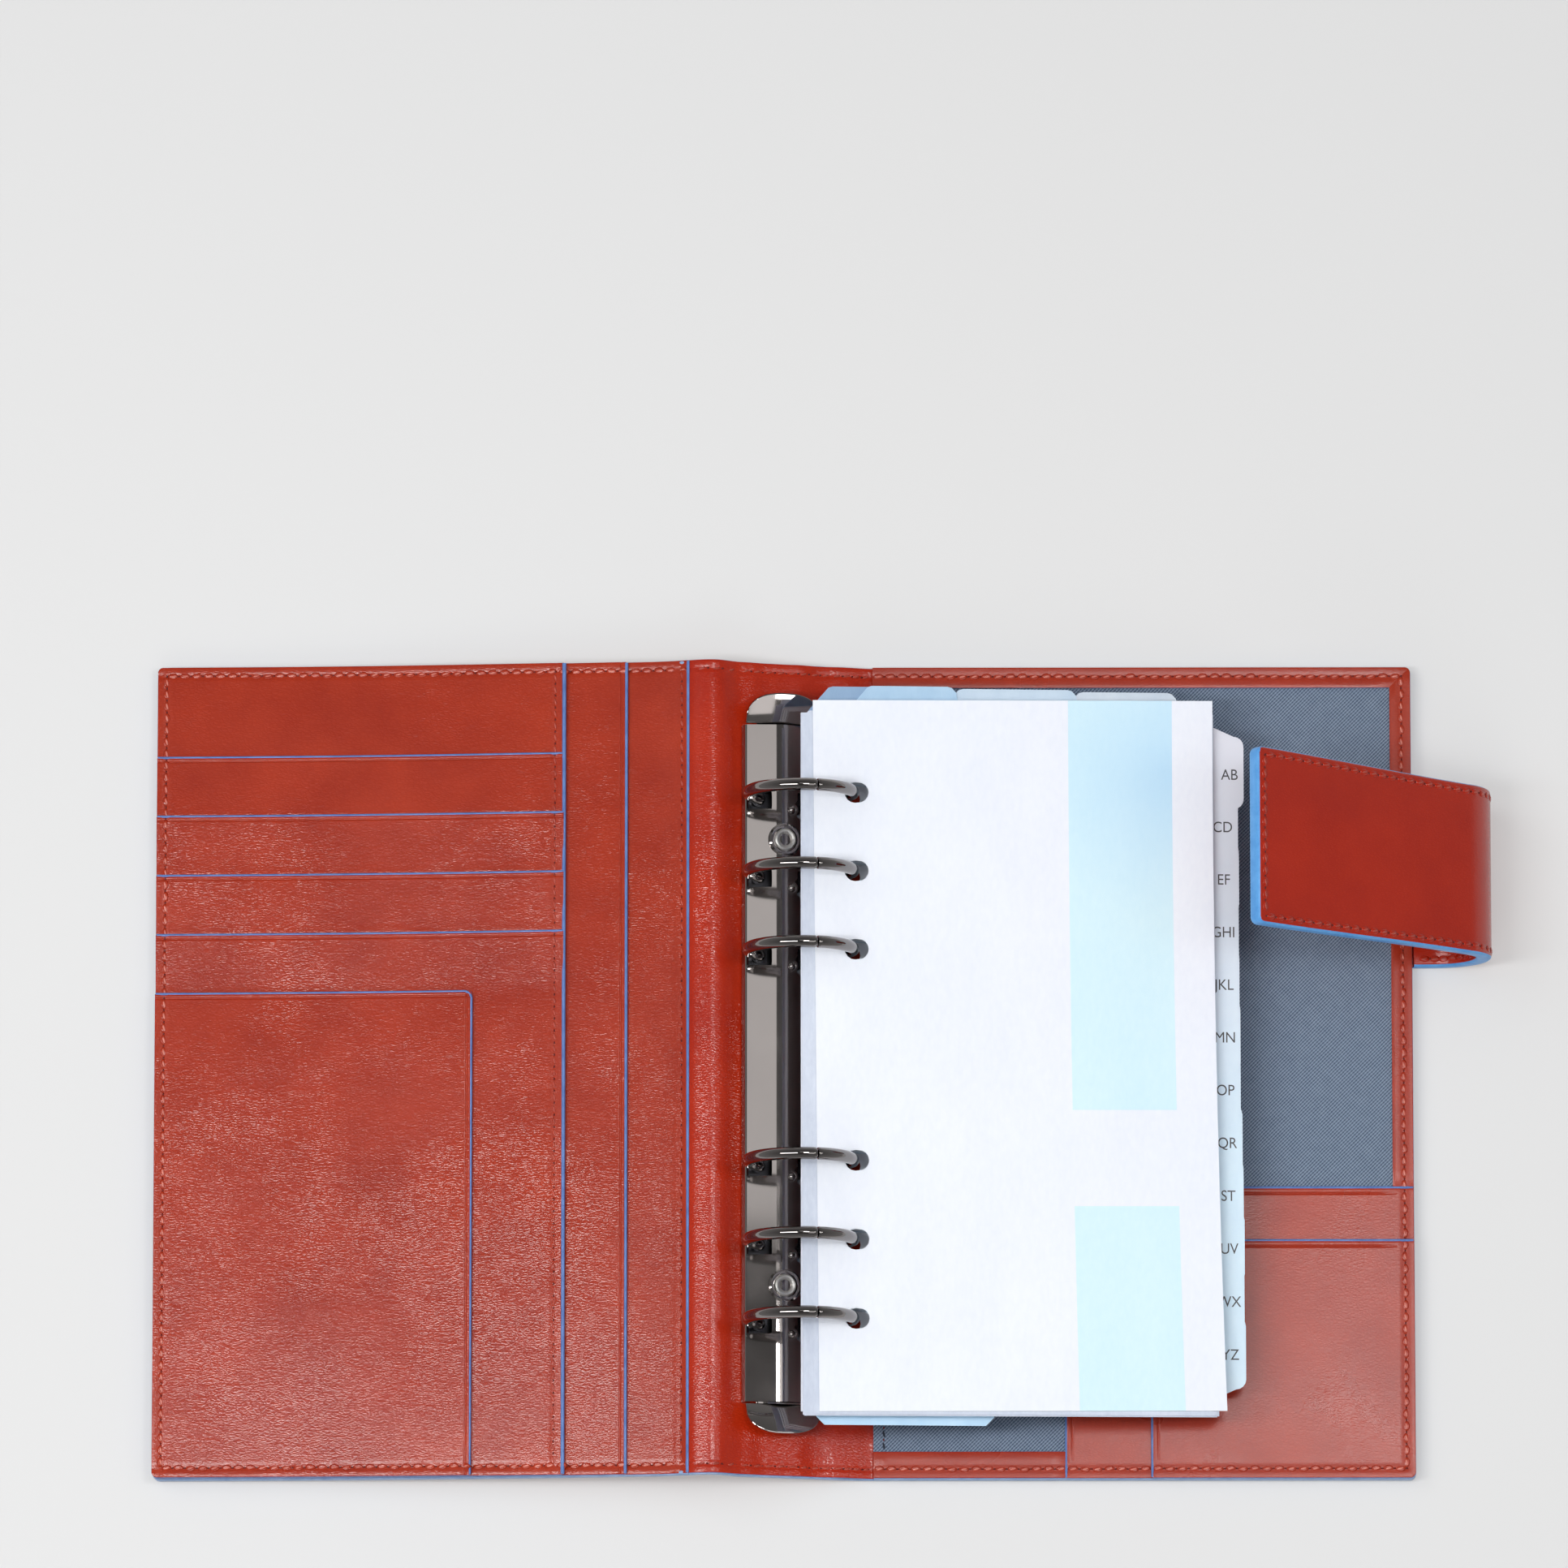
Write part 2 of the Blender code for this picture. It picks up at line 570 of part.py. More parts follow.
def build_lever(frame, side, name, metal):
    """Lever about its pin; side is 1 for the end at +Y and -1 for the end at -Y."""
    half = LEVER_PLATE / 2
    level = -LEVER_BARREL + LEVER_PLATE
    middle = [(LEVER_PIVOT_INSET, level), (0.6 * LEVER_TAB_REACH, level + 0.12 * LEVER_TAB_RISE),
              (0.82 * LEVER_TAB_REACH, level + 0.44 * LEVER_TAB_RISE),
              (LEVER_TAB_REACH, level + LEVER_TAB_RISE)]
    upper, lower = [], []
    for index, (y, z) in enumerate(middle):
        before = middle[index - 1] if index else (0, level)
        after = middle[min(index + 1, len(middle) - 1)]
        dy, dz = after[0] - before[0], after[1] - before[1]
        length = math.hypot(dy, dz)
        upper.append((y - half * dz / length, z + half * dy / length))
        lower.append((y + half * dz / length, z - half * dy / length))
    first = math.asin((level + half) / LEVER_BARREL)
    last = math.tau + math.asin((level - half) / LEVER_BARREL)
    outline = []
    for step in range(17):
        angle = first + (last - first) * step / 16
        outline.append((LEVER_BARREL * math.cos(angle), LEVER_BARREL * math.sin(angle)))
    outline += lower + upper[::-1]
    outline = [(side * y, z) for y, z in outline]
    lever = add_mesh("lever_" + name, prism(outline, -LEVER_WIDTH / 2, LEVER_WIDTH / 2, "YZ"), metal, frame)

    tongue_top = -LEVER_BARREL + FIT + LEVER_PLATE
    reach = -side * LEVER_TONGUE
    section = rectangle(min(reach, 0), max(reach, 0), -LEVER_BARREL + FIT, tongue_top)
    tongue = prism(section, -LEVER_TONGUE_WIDTH / 2, LEVER_TONGUE_WIDTH / 2, "YZ")
    boolean(lever, "lever_tongue_" + name, [tongue], "UNION")
    tip = side * (LEVER_TAB_REACH + LEVER_PLATE)
    far = -side * 2 * LEVER_TONGUE
    radii = (0, 0, LEVER_CORNER, LEVER_CORNER) if side > 0 else (LEVER_CORNER, LEVER_CORNER, 0, 0)
    plan = rounded_rectangle(-LEVER_WIDTH / 2 - FIT, LEVER_WIDTH / 2 + FIT, min(tip, far), max(tip, far),
                             radii, 6)
    boolean(lever, "lever_plan_" + name, [prism(plan, -LEVER_TAB_REACH, LEVER_TAB_REACH)], "INTERSECT")
    bore = prism(circle(0, 0, LEVER_PIN + LEVER_PLAY, 16), -LEVER_WIDTH, LEVER_WIDTH, "YZ")
    boolean(lever, "lever_bore_" + name, [bore])


def opening_shift():
    """Sideways travel of the right half rings as they open, seen along the pages."""
    x, z = -BLADE_PIVOT, RING_HEIGHT - BLADE_HEIGHT
    cos, sin = math.cos(RING_OPENING), math.sin(RING_OPENING)
    dx, dz = x * cos + z * sin - x, -x * sin + z * cos - z
    turn = SPINE_TILT - PAGE_SLOPE
    return dx * math.cos(turn) + dz * math.sin(turn)


def build_refill(pages, leaf, paper, card, film):
    half = PAGE_HEIGHT / 2
    shift = opening_shift()

    def sheet(name, outline, low, thickness, material, frame=pages):
        item = add_mesh(name, prism(outline, low, low + thickness), material, frame)
        middle = low + thickness / 2
        center = math.sqrt(RING_RADIUS ** 2 - middle ** 2) + shift / 2
        holes = [prism(circle(center, place, HOLE_RADIUS, HOLE_SIDES), low - thickness, low + 2 * thickness)
                 for place in RING_PLACES]
        boolean(item, name + "_holes", holes)

    page = rectangle(TITLE_LEFT, TITLE_LEFT + PAGE_WIDTH, -half, half)
    sheet("title_sheet", page, TITLE_LEVEL, TITLE_THICKNESS, paper, leaf)
    level = TITLE_LEVEL - SHEET_GAP - NOTE_THICKNESS
    page = rectangle(TITLE_LEFT, TITLE_LEFT + PAGE_WIDTH + NOTE_SHIFT, -half, half)
    sheet("note_sheets", page, level, NOTE_THICKNESS, paper)

    left = TITLE_LEFT + INDEX_SHIFT
    right = left + PAGE_WIDTH
    for group in range(INDEX_GROUPS):
        level -= SHEET_GAP + INDEX_THICKNESS
        outline = [(left, -half), (right, -half)]
        for tab in range(INDEX_TABS - 1, -1, -1):
            top = half - INDEX_DROP - INDEX_PITCH * (group * INDEX_TABS + tab)
            bottom = top - INDEX_PITCH + INDEX_TAB_GAP
            reach = right + INDEX_TAB_REACH
            outline += [(right, bottom), (reach, bottom), (reach, top), (right, top)]
        outline += [(right, half), (left, half)]
        sheet("index_dividers_%d" % (group + 1), outline, level, INDEX_THICKNESS, card)

    left = TITLE_LEFT + DIVIDER_SHIFT
    right = left + PAGE_WIDTH
    for number in range(1, DIVIDERS + 1):
        level -= SHEET_GAP + DIVIDER_THICKNESS
        outline = [(left, -half), (right, -half), (right, half)]
        for tab in (number + DIVIDERS - 1, number - 1):
            start = left + DIVIDER_TAB_START + DIVIDER_TAB_PITCH * tab
            end = start + DIVIDER_TAB_WIDTH
            for x, y in ((end, 0), (end, DIVIDER_TAB_RISE), (start, DIVIDER_TAB_RISE), (start, 0)):
                outline.append((x, half + y))
        outline.append((left, half))
        sheet("section_divider_%d" % number, outline, level, DIVIDER_THICKNESS, film)

    level -= SHEET_GAP + DIVIDER_THICKNESS
    right = left + MARKER_WIDTH
    drop = -half - MARKER_TAB_DROP
    outline = [(left, drop), (right - MARKER_CHAMFER, drop), (right, drop + MARKER_CHAMFER), (right, half),
               (left, half)]
    sheet("page_marker", outline, level, DIVIDER_THICKNESS, film)

    level -= SHEET_GAP
    left = TITLE_LEFT + DIARY_SHIFT
    right = left + PAGE_WIDTH
    section = [(left, -DIARY_LEFT_DEPTH), (right, -DIARY_RIGHT_DEPTH), (right, level), (left, level)]
    diary = add_mesh("diary_block", prism(section, -half, half, "XZ"), paper, pages)
    top, bottom = level + HOLE_RADIUS / 4, -DIARY_LEFT_DEPTH - HOLE_RADIUS / 2
    margin = WIRE_RADIUS + 2 * FIT
    inner, outer = [], []
    for step in range(7):
        z = bottom + (top - bottom) * step / 6
        inner.append((math.sqrt((RING_RADIUS - margin) ** 2 - z * z), z))
        outer.append((math.sqrt((RING_RADIUS + margin) ** 2 - z * z) + shift, z))
    tunnels = [prism(inner + outer[::-1], place - HOLE_RADIUS, place + HOLE_RADIUS, "XZ")
               for place in RING_PLACES]
    boolean(diary, "diary_block_tunnels", tunnels)


def main():
    clear_scene()
    leather = make_material("leather", (0.40, 0.045, 0.028), 0.35)
    spine_leather = make_material("spine_leather", (0.42, 0.055, 0.030), 0.4)
    board = make_material("board", (0.30, 0.26, 0.20), 0.8)
    twill = make_material("twill", (0.10, 0.15, 0.22), 0.8)
    gunmetal = make_material("gunmetal", (0.20, 0.19, 0.19), 0.15, 1.0)
    steel = make_material("steel", (0.55, 0.55, 0.55), 0.3, 1.0)
    paper = make_material("paper", (0.88, 0.88, 0.87), 0.7)
    card = make_material("index_card", (0.85, 0.85, 0.84), 0.6)
    film = make_material("divider_film", (0.55, 0.72, 0.85), 0.4)

    back = make_frame("back_cover_frame")
    spine = make_frame("spine_frame", back, (-BACK_EDGE - HINGE_GAP, 0, HINGE_HEIGHT), (0, SPINE_TILT, 0))
    reach = math.hypot(FRONT_EDGE, HINGE_HEIGHT)
    raised = HINGE_HEIGHT + SPINE_WIDTH * math.sin(SPINE_TILT)
    front_tilt = math.asin(raised / reach) - math.atan2(HINGE_HEIGHT, -FRONT_EDGE)
    front = make_frame("front_cover_frame", spine, (-SPINE_WIDTH, 0, 0), (0, -SPINE_TILT - front_tilt, 0))
    seat = make_frame("mechanism_frame", spine, (-MECHANISM_OFFSET, 0, SEAT_LEVEL - HINGE_HEIGHT))
    left = make_frame("left_ring_frame", seat, (-BLADE_PIVOT, 0, BLADE_HEIGHT))
    right = make_frame("right_ring_frame", seat, (BLADE_PIVOT, 0, BLADE_HEIGHT))
    pages = make_frame("page_frame", seat, (0, 0, RING_HEIGHT), (0, PAGE_SLOPE - SPINE_TILT, 0))
    leaf = make_frame("leaf_frame", pages)
    bend_radius = STRAP_BEND_RADIUS + STRAP_THICKNESS
    bend = make_frame("strap_bend_frame", back, (BACK_EDGE + STRAP_RUN, 0, bend_radius + STRAP_LIFT))
    fold = (bend_radius * math.sin(STRAP_FOLD), 0, -bend_radius * math.cos(STRAP_FOLD))
    tip = make_frame("strap_tip_frame", bend, fold)

    build_front(front, leather, board, steel)
    build_spine(spine, spine_leather, steel)
    build_back(back, leather, board, twill)
    build_strap(bend, tip, leather, steel)
    build_housing(seat, gunmetal, steel)
    build_rings(left, -1, "left", gunmetal, steel)
    build_rings(right, 1, "right", gunmetal, steel)
    for name, side in (("top", 1), ("bottom", -1)):
        lever_frame = make_frame("lever_frame_" + name, seat, (0, side * LEVER_PLACE, LEVER_PIVOT_HEIGHT))
        build_lever(lever_frame, side, name, gunmetal)
    build_refill(pages, leaf, paper, card, film)


main()
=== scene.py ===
"""The open personal organizer, dressed: glazed leather, twill, polished metal, paper and film."""

import json
import math
import random

import bmesh
import bpy
from bmesh.types import BMEdge, BMVert
from mathutils import Matrix, Vector, noise
from mathutils.bvhtree import BVHTree


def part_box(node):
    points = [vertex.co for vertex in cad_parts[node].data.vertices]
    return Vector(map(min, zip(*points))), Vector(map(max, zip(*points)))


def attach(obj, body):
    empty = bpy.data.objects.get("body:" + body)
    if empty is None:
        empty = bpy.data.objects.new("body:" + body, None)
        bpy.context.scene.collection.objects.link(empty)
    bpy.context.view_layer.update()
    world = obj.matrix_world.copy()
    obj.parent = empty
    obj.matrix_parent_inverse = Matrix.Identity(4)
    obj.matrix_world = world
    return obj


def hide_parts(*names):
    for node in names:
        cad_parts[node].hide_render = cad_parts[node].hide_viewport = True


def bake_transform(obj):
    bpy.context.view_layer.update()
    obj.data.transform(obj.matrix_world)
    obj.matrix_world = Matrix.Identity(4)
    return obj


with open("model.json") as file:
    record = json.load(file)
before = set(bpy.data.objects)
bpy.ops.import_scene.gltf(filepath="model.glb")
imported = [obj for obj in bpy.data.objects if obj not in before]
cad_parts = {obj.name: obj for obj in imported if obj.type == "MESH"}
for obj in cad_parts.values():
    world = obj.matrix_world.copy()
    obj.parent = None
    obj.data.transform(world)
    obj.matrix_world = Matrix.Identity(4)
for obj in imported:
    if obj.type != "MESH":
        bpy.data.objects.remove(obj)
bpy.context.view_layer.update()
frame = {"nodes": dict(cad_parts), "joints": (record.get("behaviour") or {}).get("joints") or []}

# Sizes are in millimetres and are drawn in each body's own frame.
MM = 0.001
FAR = 1000.0
COVER_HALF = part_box("back_outer_leather")[1].y / MM
BACK_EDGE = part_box("back_outer_leather")[1].x / MM
FRONT_WIDTH = 2 * BACK_EDGE
SPINE_WIDTH = 36.0
HINGE_GAP = 0.9
HINGE_HEIGHT = 3.3
FRONT_EDGE = -(FRONT_WIDTH + HINGE_GAP)
COVER_LOW = -COVER_HALF - 1.45
CORNER_RADIUS = 1.3
LEFT_CORNERS = ((-1, -1), (-1, 1))
RIGHT_CORNERS = ((1, -1), (1, 1))

# Layers, as the lower and upper level over a cover's outer face.
OUTER_LEATHER = (0.0, 1.2)
BOARD = (1.35, 2.15)
BOARD_INSET = 4.0
BOARD_END = -HINGE_GAP - 8.15
BASE_PANEL = (2.3, 3.0)
SIDE_PANEL = (3.15, 3.85)
CARD_PANEL = (4.0, 4.7)
CARD_POCKET = (4.75, 5.2)
SLIP_POCKET = (5.7, 6.4)
LINING = (2.3, 2.7)
BORDER = (2.85, 3.55)
SMALL_POCKET_LEVEL = (3.7, 4.4)

# Front cover panels, by the place of their free edges, and the relief of the cover.
BASE_EDGE = FRONT_EDGE + FRONT_WIDTH - 4.8
SIDE_EDGE = BASE_EDGE - 15.0
CARD_EDGE = SIDE_EDGE - 15.0
SLIP_EDGE = CARD_EDGE - 22.2
SLIP_CORNER = 1.6
SIDE_FOLD = 1.3
CARD_FOLD = 1.0
SLIP_FOLD = 1.1
BASE_ROW = BASE_EDGE - 1.5
CARD_ROW = CARD_EDGE - 2.2
CARD_POCKETS = 4
CARD_TOP = COVER_HALF - 22.2
CARD_PITCH = 14.45
CARD_TUCK = 1.0
SHOULDER = CARD_PITCH - 1.0
SHOULDER_RISE = 0.5
FRONT_SAG = 2.2
RIPPLE = 0.15
RIPPLE_LENGTH = 34.0
ROLL = (-13.0, 0.8, 8.2)
ROLL_RISE = 2.4

# Folds of the spine. Places across it are distances from a hinge.
FOLD_REACH = 7.0
FOLD_EASE = 6.0
SPINE_DROP = BASE_PANEL[0] - BOARD[0] - 0.1
STIFFENER = (-27.5, -8.0)
LOOSE_ENDS = (76.0, 97.0)
LEFT_SLIP = (-7.5, -4.5)
RIGHT_SLIP = (-0.5, 4.0)
SPINE_SPAN = (-14.0, 11.0)
PAINT_SPAN = (-7.0, 4.8)
ROW_SPAN = (-4.0, 3.5)

# Back cover lining, border and pockets.
LINING_LEFT = -BACK_EDGE + 3.5
LINING_INSET = 0.6
LINING_RIGHT = BACK_EDGE - LINING_INSET
LINING_HEM = LINING_LEFT + 2.5
HEM_RISE = 0.22
BORDER_WIDTH = 5.0
BORDER_GAP = 0.15
LARGE_POCKET = (83.6, 68.7)
SMALL_POCKET = (63.0, 55.8)
POCKET_CORNER = 1.2
POCKET_FOLD = 1.4

# Sewing and painted edges. A groove has a width and a depth.
STITCH_PITCH = 2.9
STITCH_SIZE = (1.8, 0.6, 0.56)
STITCH_SLANT = 0.24
NEEDLE_HOLE = (0.8, 0.55, 0.2)
PUCKER = (STITCH_PITCH - 0.25, 1.7, 0.34)
STITCH_INSET = 2.2
STITCH_LOW = COVER_LOW + STITCH_INSET
STITCH_HIGH = COVER_HALF - STITCH_INSET
ROW_GROOVE = (2.0, 0.16)
BACK_GROOVE = (2.4, 0.18)
HEM_GROOVE = (1.2, 0.15)
SIDE_CREASE = (0.6, 0.24)
CARD_CREASE = (0.6, 0.2)
POCKET_CREASE = (0.7, 0.22)
BEAD_RADIUS = 0.32
BEAD_INSET = 0.2
BEAD_SINK = 0.25
BAND_WIDTH = 1.2
BAND_PROUD = 0.1
BOTTOM_PAINT = 0.3

# Strap.
STRAP_LOW, STRAP_HIGH = 24.5, 65.5
STRAP_MIDDLE = (STRAP_LOW + STRAP_HIGH) / 2
STRAP_THICKNESS = 3.75
STRAP_TONGUE = 18.0
STRAP_RUN = 4.4
STRAP_RADIUS = 10.5
STRAP_TURN = math.radians(142)
STRAP_ARC = STRAP_TURN * (STRAP_RADIUS + STRAP_THICKNESS)
STRAP_TIP = 65.5
STRAP_LIFT = 0.2
STRAP_CORNER = 1.8
STRAP_EASE = 0.8
STRAP_FLARE = 0.8
STRAP_SKEW = 1.7
STRAP_INSET = 1.9
STRAP_BEND = 13.0

# Ring mechanism, on its seat on the spine.
MECHANISM_OFFSET = 19.0
SEAT_LEVEL = 3.15
HOUSING_HALF = 9.5
HOUSING_LENGTH = 164.0
HOUSING_HEIGHT = 5.2
HOUSING_SLOPE = math.tan(math.radians(15.8))
HOUSING_CREST = 2.4
HOUSING_EASE = 0.5
HOUSING_FOOT = 0.3
HOUSING_WALL = 0.4
HOUSING_STEPS = 60
SLOT_SPAN = (3.2, 9.0)
SLOT_HALF = 2.1
SLOT_EASE = 1.3
RING_RADIUS = 12.5
WIRE_RADIUS = 1.5
RING_HEIGHT = 17.4
RING_PLACES = (63.5, 44.5, 25.5, -25.5, -44.5, -63.5)
RING_FOOT = math.radians(222)
RING_SPLIT = 0.15 / RING_RADIUS
RING_SHANK = 1.7
RING_HEEL = 7.2
RIVET_PLACE = 54.0
BOSS_PLACE = (1.6, -2.2)
LEVER_PLACE = HOUSING_LENGTH / 2 - 3.0
LEVER_PIVOT = 1.8
LEVER_SPAN = (3.3, 10.7)
LEVER_HALF = 9.2
LEVER_RISE = 3.2
LEVER_CROWN = 0.8
LEVER_WALL = 0.8
LEVER_NECK = (0.4, 4.2)
BARREL_RADIUS = 1.4
BARREL_HALF = 8.2

# Turned outlines on the seat, as (radius, height).
RIVET_BASE = BOARD[0] - SEAT_LEVEL
RIVET = ((1.3, RIVET_BASE), (2.7, RIVET_BASE), (2.7, RIVET_BASE + 0.8), (1.8, RIVET_BASE + 0.8), (1.8, 4.9),
         (2.7, 5.15), (2.65, 5.6), (2.3, 5.85), (1.75, 5.8), (1.45, 5.5), (1.3, 4.9))
COLLAR = ((4.1, 4.3), (4.05, 5.0), (3.6, 5.35), (3.0, 5.2), (2.75, 4.7), (2.75, 4.3))
BOSS = ((1.7, 4.4), (1.65, 5.05), (1.3, 5.15), (0.95, 5.0), (0.8, 5.5), (0.45, 5.85), (0.001, 5.95),
        (0.001, 4.4))

# Refill, about the ring axis.
PAGE_SLOPE = math.radians(4.0)
PAGE_WIDTH = 96.0
PAGE_HALF = 85.4
LEAF_TOP = PAGE_HALF - 2
TITLE_LEFT = 3.3
TITLE_LEVEL = 0.9
TITLE_TURN = math.radians(0.5)
PRINT_BAND = (61.4, 86.4)
PRINT_GAP = (PAGE_HALF - 121.6, PAGE_HALF - 98.4)
HOLE_RADIUS = 2.5
HOLE_PLAY = 2.6
TITLE_PLAY = 0.8
NOTE_SHEETS = 9
DIARY_SHEETS = 26
DIARY_LEVEL, DIARY_DEPTH, DIARY_SAG = -4.75, 3.6, 4.6
PAPER_THICKNESS, CARD_THICKNESS, FILM_THICKNESS = 0.1, 0.12, 0.18
MARKER_LEVEL = -4.35
INDEX_LETTERS = ("AB", "CD", "EF", "GHI", "JKL", "MN", "OP", "QR", "ST", "UV", "WX", "YZ")
INDEX_REACH = (7.8, 6.4, 6.6, 6.5, 6.6, 6.8, 6.8, 7.2, 7.4, 7.6, 7.5, 7.8)
INDEX_PITCH = 12.74
INDEX_TAB = 17.6
INDEX_EASE = 2.4
LETTER_SIZE = 3.7

# Section dividers: where a tab starts and ends, how far it stands out, and its place in the stack.
DIVIDER_TABS = ((0.6, 31.0, 4.6, 1), (10.0, 35.5, 4.8, 0), (32.0, 64.5, 4.4, 2), (61.0, 88.6, 4.0, 3))

# Lamps, in metres and watts. Strips and cards hang level: place, size and power.
HANGING = (("front_strip", (-0.55, -0.12), (0.72, 0.13), 4.75),
           ("back_strip", (0.11, 0.0), (0.18, 0.13), 1.4),
           ("right_strip", (0.63, -0.04), (0.3, 0.13), 0.8),
           ("grey_card", (-0.04, 0.185), (0.14, 0.18), 0.063),
           ("lever_card", (0.34, -0.187), (0.28, 0.526), 0.5))
SOFTBOXES = (("top_panel", (0, 0, 2.5), (0, 0, 0), 2.0, 12.9),
             ("side_softbox", (-1.2, 0.6, 1.5), (-0.08, 0, 0), 0.9, 5.5),
             ("front_softbox", (-0.3, -1.2, 1.3), (-0.08, 0, 0), 0.9, 3.5))
FLOOR_GREY = (229, 229, 229)
FLOOR_GLOW = 0.35


# Frames of the bodies

def joint_place(name):
    for joint in frame["joints"]:
        if joint["name"] == name:
            return Vector(joint["pos_m"])


def body_frame(origin, turn):
    """Millimetre frame at a point in metres, turned about the Y axis."""
    return Matrix.Translation(origin) @ Matrix.Rotation(turn, 4, "Y") @ Matrix.Scale(MM, 4)


spine_fold = joint_place("spine_fold")
front_fold = joint_place("front_cover_fold")
spine_tilt = math.atan2(front_fold.z - spine_fold.z, spine_fold.x - front_fold.x)
front_tilt = (math.asin(front_fold.z / MM / math.hypot(FRONT_EDGE, HINGE_HEIGHT))
              - math.atan2(HINGE_HEIGHT, -FRONT_EDGE))
BACK = body_frame((0, 0, 0), 0)
BACK_HINGE = body_frame(spine_fold, 0)
SPINE = body_frame(spine_fold, spine_tilt)
FRONT = body_frame(front_fold, -front_tilt)
SEAT = SPINE @ Matrix.Translation((-MECHANISM_OFFSET, 0, SEAT_LEVEL - HINGE_HEIGHT))
PAGES = body_frame(joint_place("title_leaf_turn"), PAGE_SLOPE)
FACING_X = Matrix(((0, 0, 1, 0), (1, 0, 0, 0), (0, 1, 0, 0), (0, 0, 0, 1)))


# Mesh helpers

def smoothstep(low, high, value):
    share = min(max((value - low) / (high - low), 0.0), 1.0)
    return share * share * (3 - 2 * share)


def picked(geom, kind):
    return [item for item in geom if isinstance(item, kind)]


def recalculate(bm):
    bmesh.ops.recalc_face_normals(bm, faces=bm.faces)


def transform(bm, matrix):
    bmesh.ops.transform(bm, matrix=matrix, verts=bm.verts)


def turn_about(point, angle, axis):
    point = Vector(point)
    return Matrix.Translation(point) @ Matrix.Rotation(angle, 4, axis) @ Matrix.Translation(-point)


def cut(bm, point, normal, clear=False):
    bmesh.ops.bisect_plane(bm, geom=bm.verts[:] + bm.edges[:] + bm.faces[:], dist=1e-5, plane_co=point,
                           plane_no=normal, clear_outer=clear)


def cut_across(bm, axis, places):
    """Cuts a mesh at some places along an axis."""
    normal = Vector((0, 0, 0))
    normal[axis] = 1
    for at in places:
        cut(bm, normal * at, normal)


def press(bm, lines, groove):
    """Presses soft grooves into an open sheet; a line has its axis, its place and, at need, its two ends."""
    width, depth = groove
    for axis, at, *ends in lines:
        low, high = ends or (-FAR, FAR)
        cut_across(bm, axis, [at + share * width for share in (-0.8, -0.5, -0.25, 0, 0.25, 0.5, 0.8)])
        for vert in bm.verts:
            off = abs(vert.co[axis] - at) / (width / 2)
            if off < 1 and low <= vert.co[1 - axis] <= high:
                vert.co.z -= depth * (math.cos(math.pi * off) + 1) / 2


def ease(bm, geom, offset, segments=2, affect="EDGES", clamp=False):
    bmesh.ops.bevel(bm, geom=geom, offset=offset, affect=affect, segments=segments, profile=0.5, material=-1,
                    clamp_overlap=clamp)


def sharp_edges(bm):
    return [edge for edge in bm.edges if edge.is_manifold and edge.calc_face_angle() > 1.0]


def thicken(bm, low, easing, seam=None):
    """Closes an open sheet down to a level and eases its rim, except where it meets its other half."""
    grown = bmesh.ops.extrude_face_region(bm, geom=bm.faces[:])["geom"]
    for vert in picked(grown, BMVert):
        vert.co.z = low
    recalculate(bm)
    rim = sharp_edges(bm)
    if seam is not None:
        rim = [edge for edge in rim if max(abs(vert.co.x - seam) for vert in edge.verts) > 1e-3]
    ease(bm, rim, easing, clamp=True)


def plate(bm, thickness):
    """Gives an open surface its thickness, below its upper face."""
    recalculate(bm)
    if sum(face.normal.z * face.calc_area() for face in bm.faces) < 0:
        bmesh.ops.reverse_faces(bm, faces=bm.faces)
    bmesh.ops.solidify(bm, geom=bm.faces[:], thickness=thickness)


def open_sheet(x0, x1, y0, y1, level, step=4.0, rounded=()):
    """Flat grid at a level; rounded lists the corners, as signs of X and Y, that get the cover's radius."""
    bm = bmesh.new()
    middle = ((x0 + x1) / 2, (y0 + y1) / 2, level)
    place = Matrix.Translation(middle) @ Matrix.Diagonal((x1 - x0, y1 - y0, 1, 1))
    bmesh.ops.create_grid(bm, x_segments=max(1, round((x1 - x0) / step)),
                          y_segments=max(1, round((y1 - y0) / step)), size=0.5, matrix=place)
    corners = []
    for vert in bm.verts:
        if len(vert.link_faces) == 1:
            side = (1 if vert.co.x > middle[0] else -1, 1 if vert.co.y > middle[1] else -1)
            if side in rounded:
                corners.append(vert)
    if corners:
        ease(bm, corners, CORNER_RADIUS, 5, "VERTICES")
    return bm


def paint_sides(bm):
    for face in bm.faces:
        if abs(face.normal.z) < 0.6:
            face.material_index = 1


def relieve(bm, relief):
    for vert in bm.verts:
        vert.co.z += relief(vert.co.x, vert.co.y)


def join(parts):
    joined = bmesh.new()
    for part in parts:
        scratch = bpy.data.meshes.new("scratch")
        part.to_mesh(scratch)
        part.free()
        joined.from_mesh(scratch)
        bpy.data.meshes.remove(scratch)
    return joined


def chain(bm, points, closed=True):
    """Vertices at some points, and the edges between them."""
    verts = [bm.verts.new(point) for point in points]
    first = 0 if closed else 1
    return verts + [bm.edges.new((verts[index - 1], verts[index])) for index in range(first, len(verts))]


def rounded_ring(bm, width, height, easing, place):
    """Ring of edges with rounded corners, as the section of a band."""
    bmesh.ops.create_grid(bm, x_segments=1, y_segments=1, size=0.5,
                          matrix=place @ Matrix.Diagonal((width, height, 1, 1)))
    ease(bm, bm.verts[:], easing, 4, "VERTICES")
    bmesh.ops.delete(bm, geom=bm.faces[:], context="FACES_ONLY")
    return bm.edges[:]


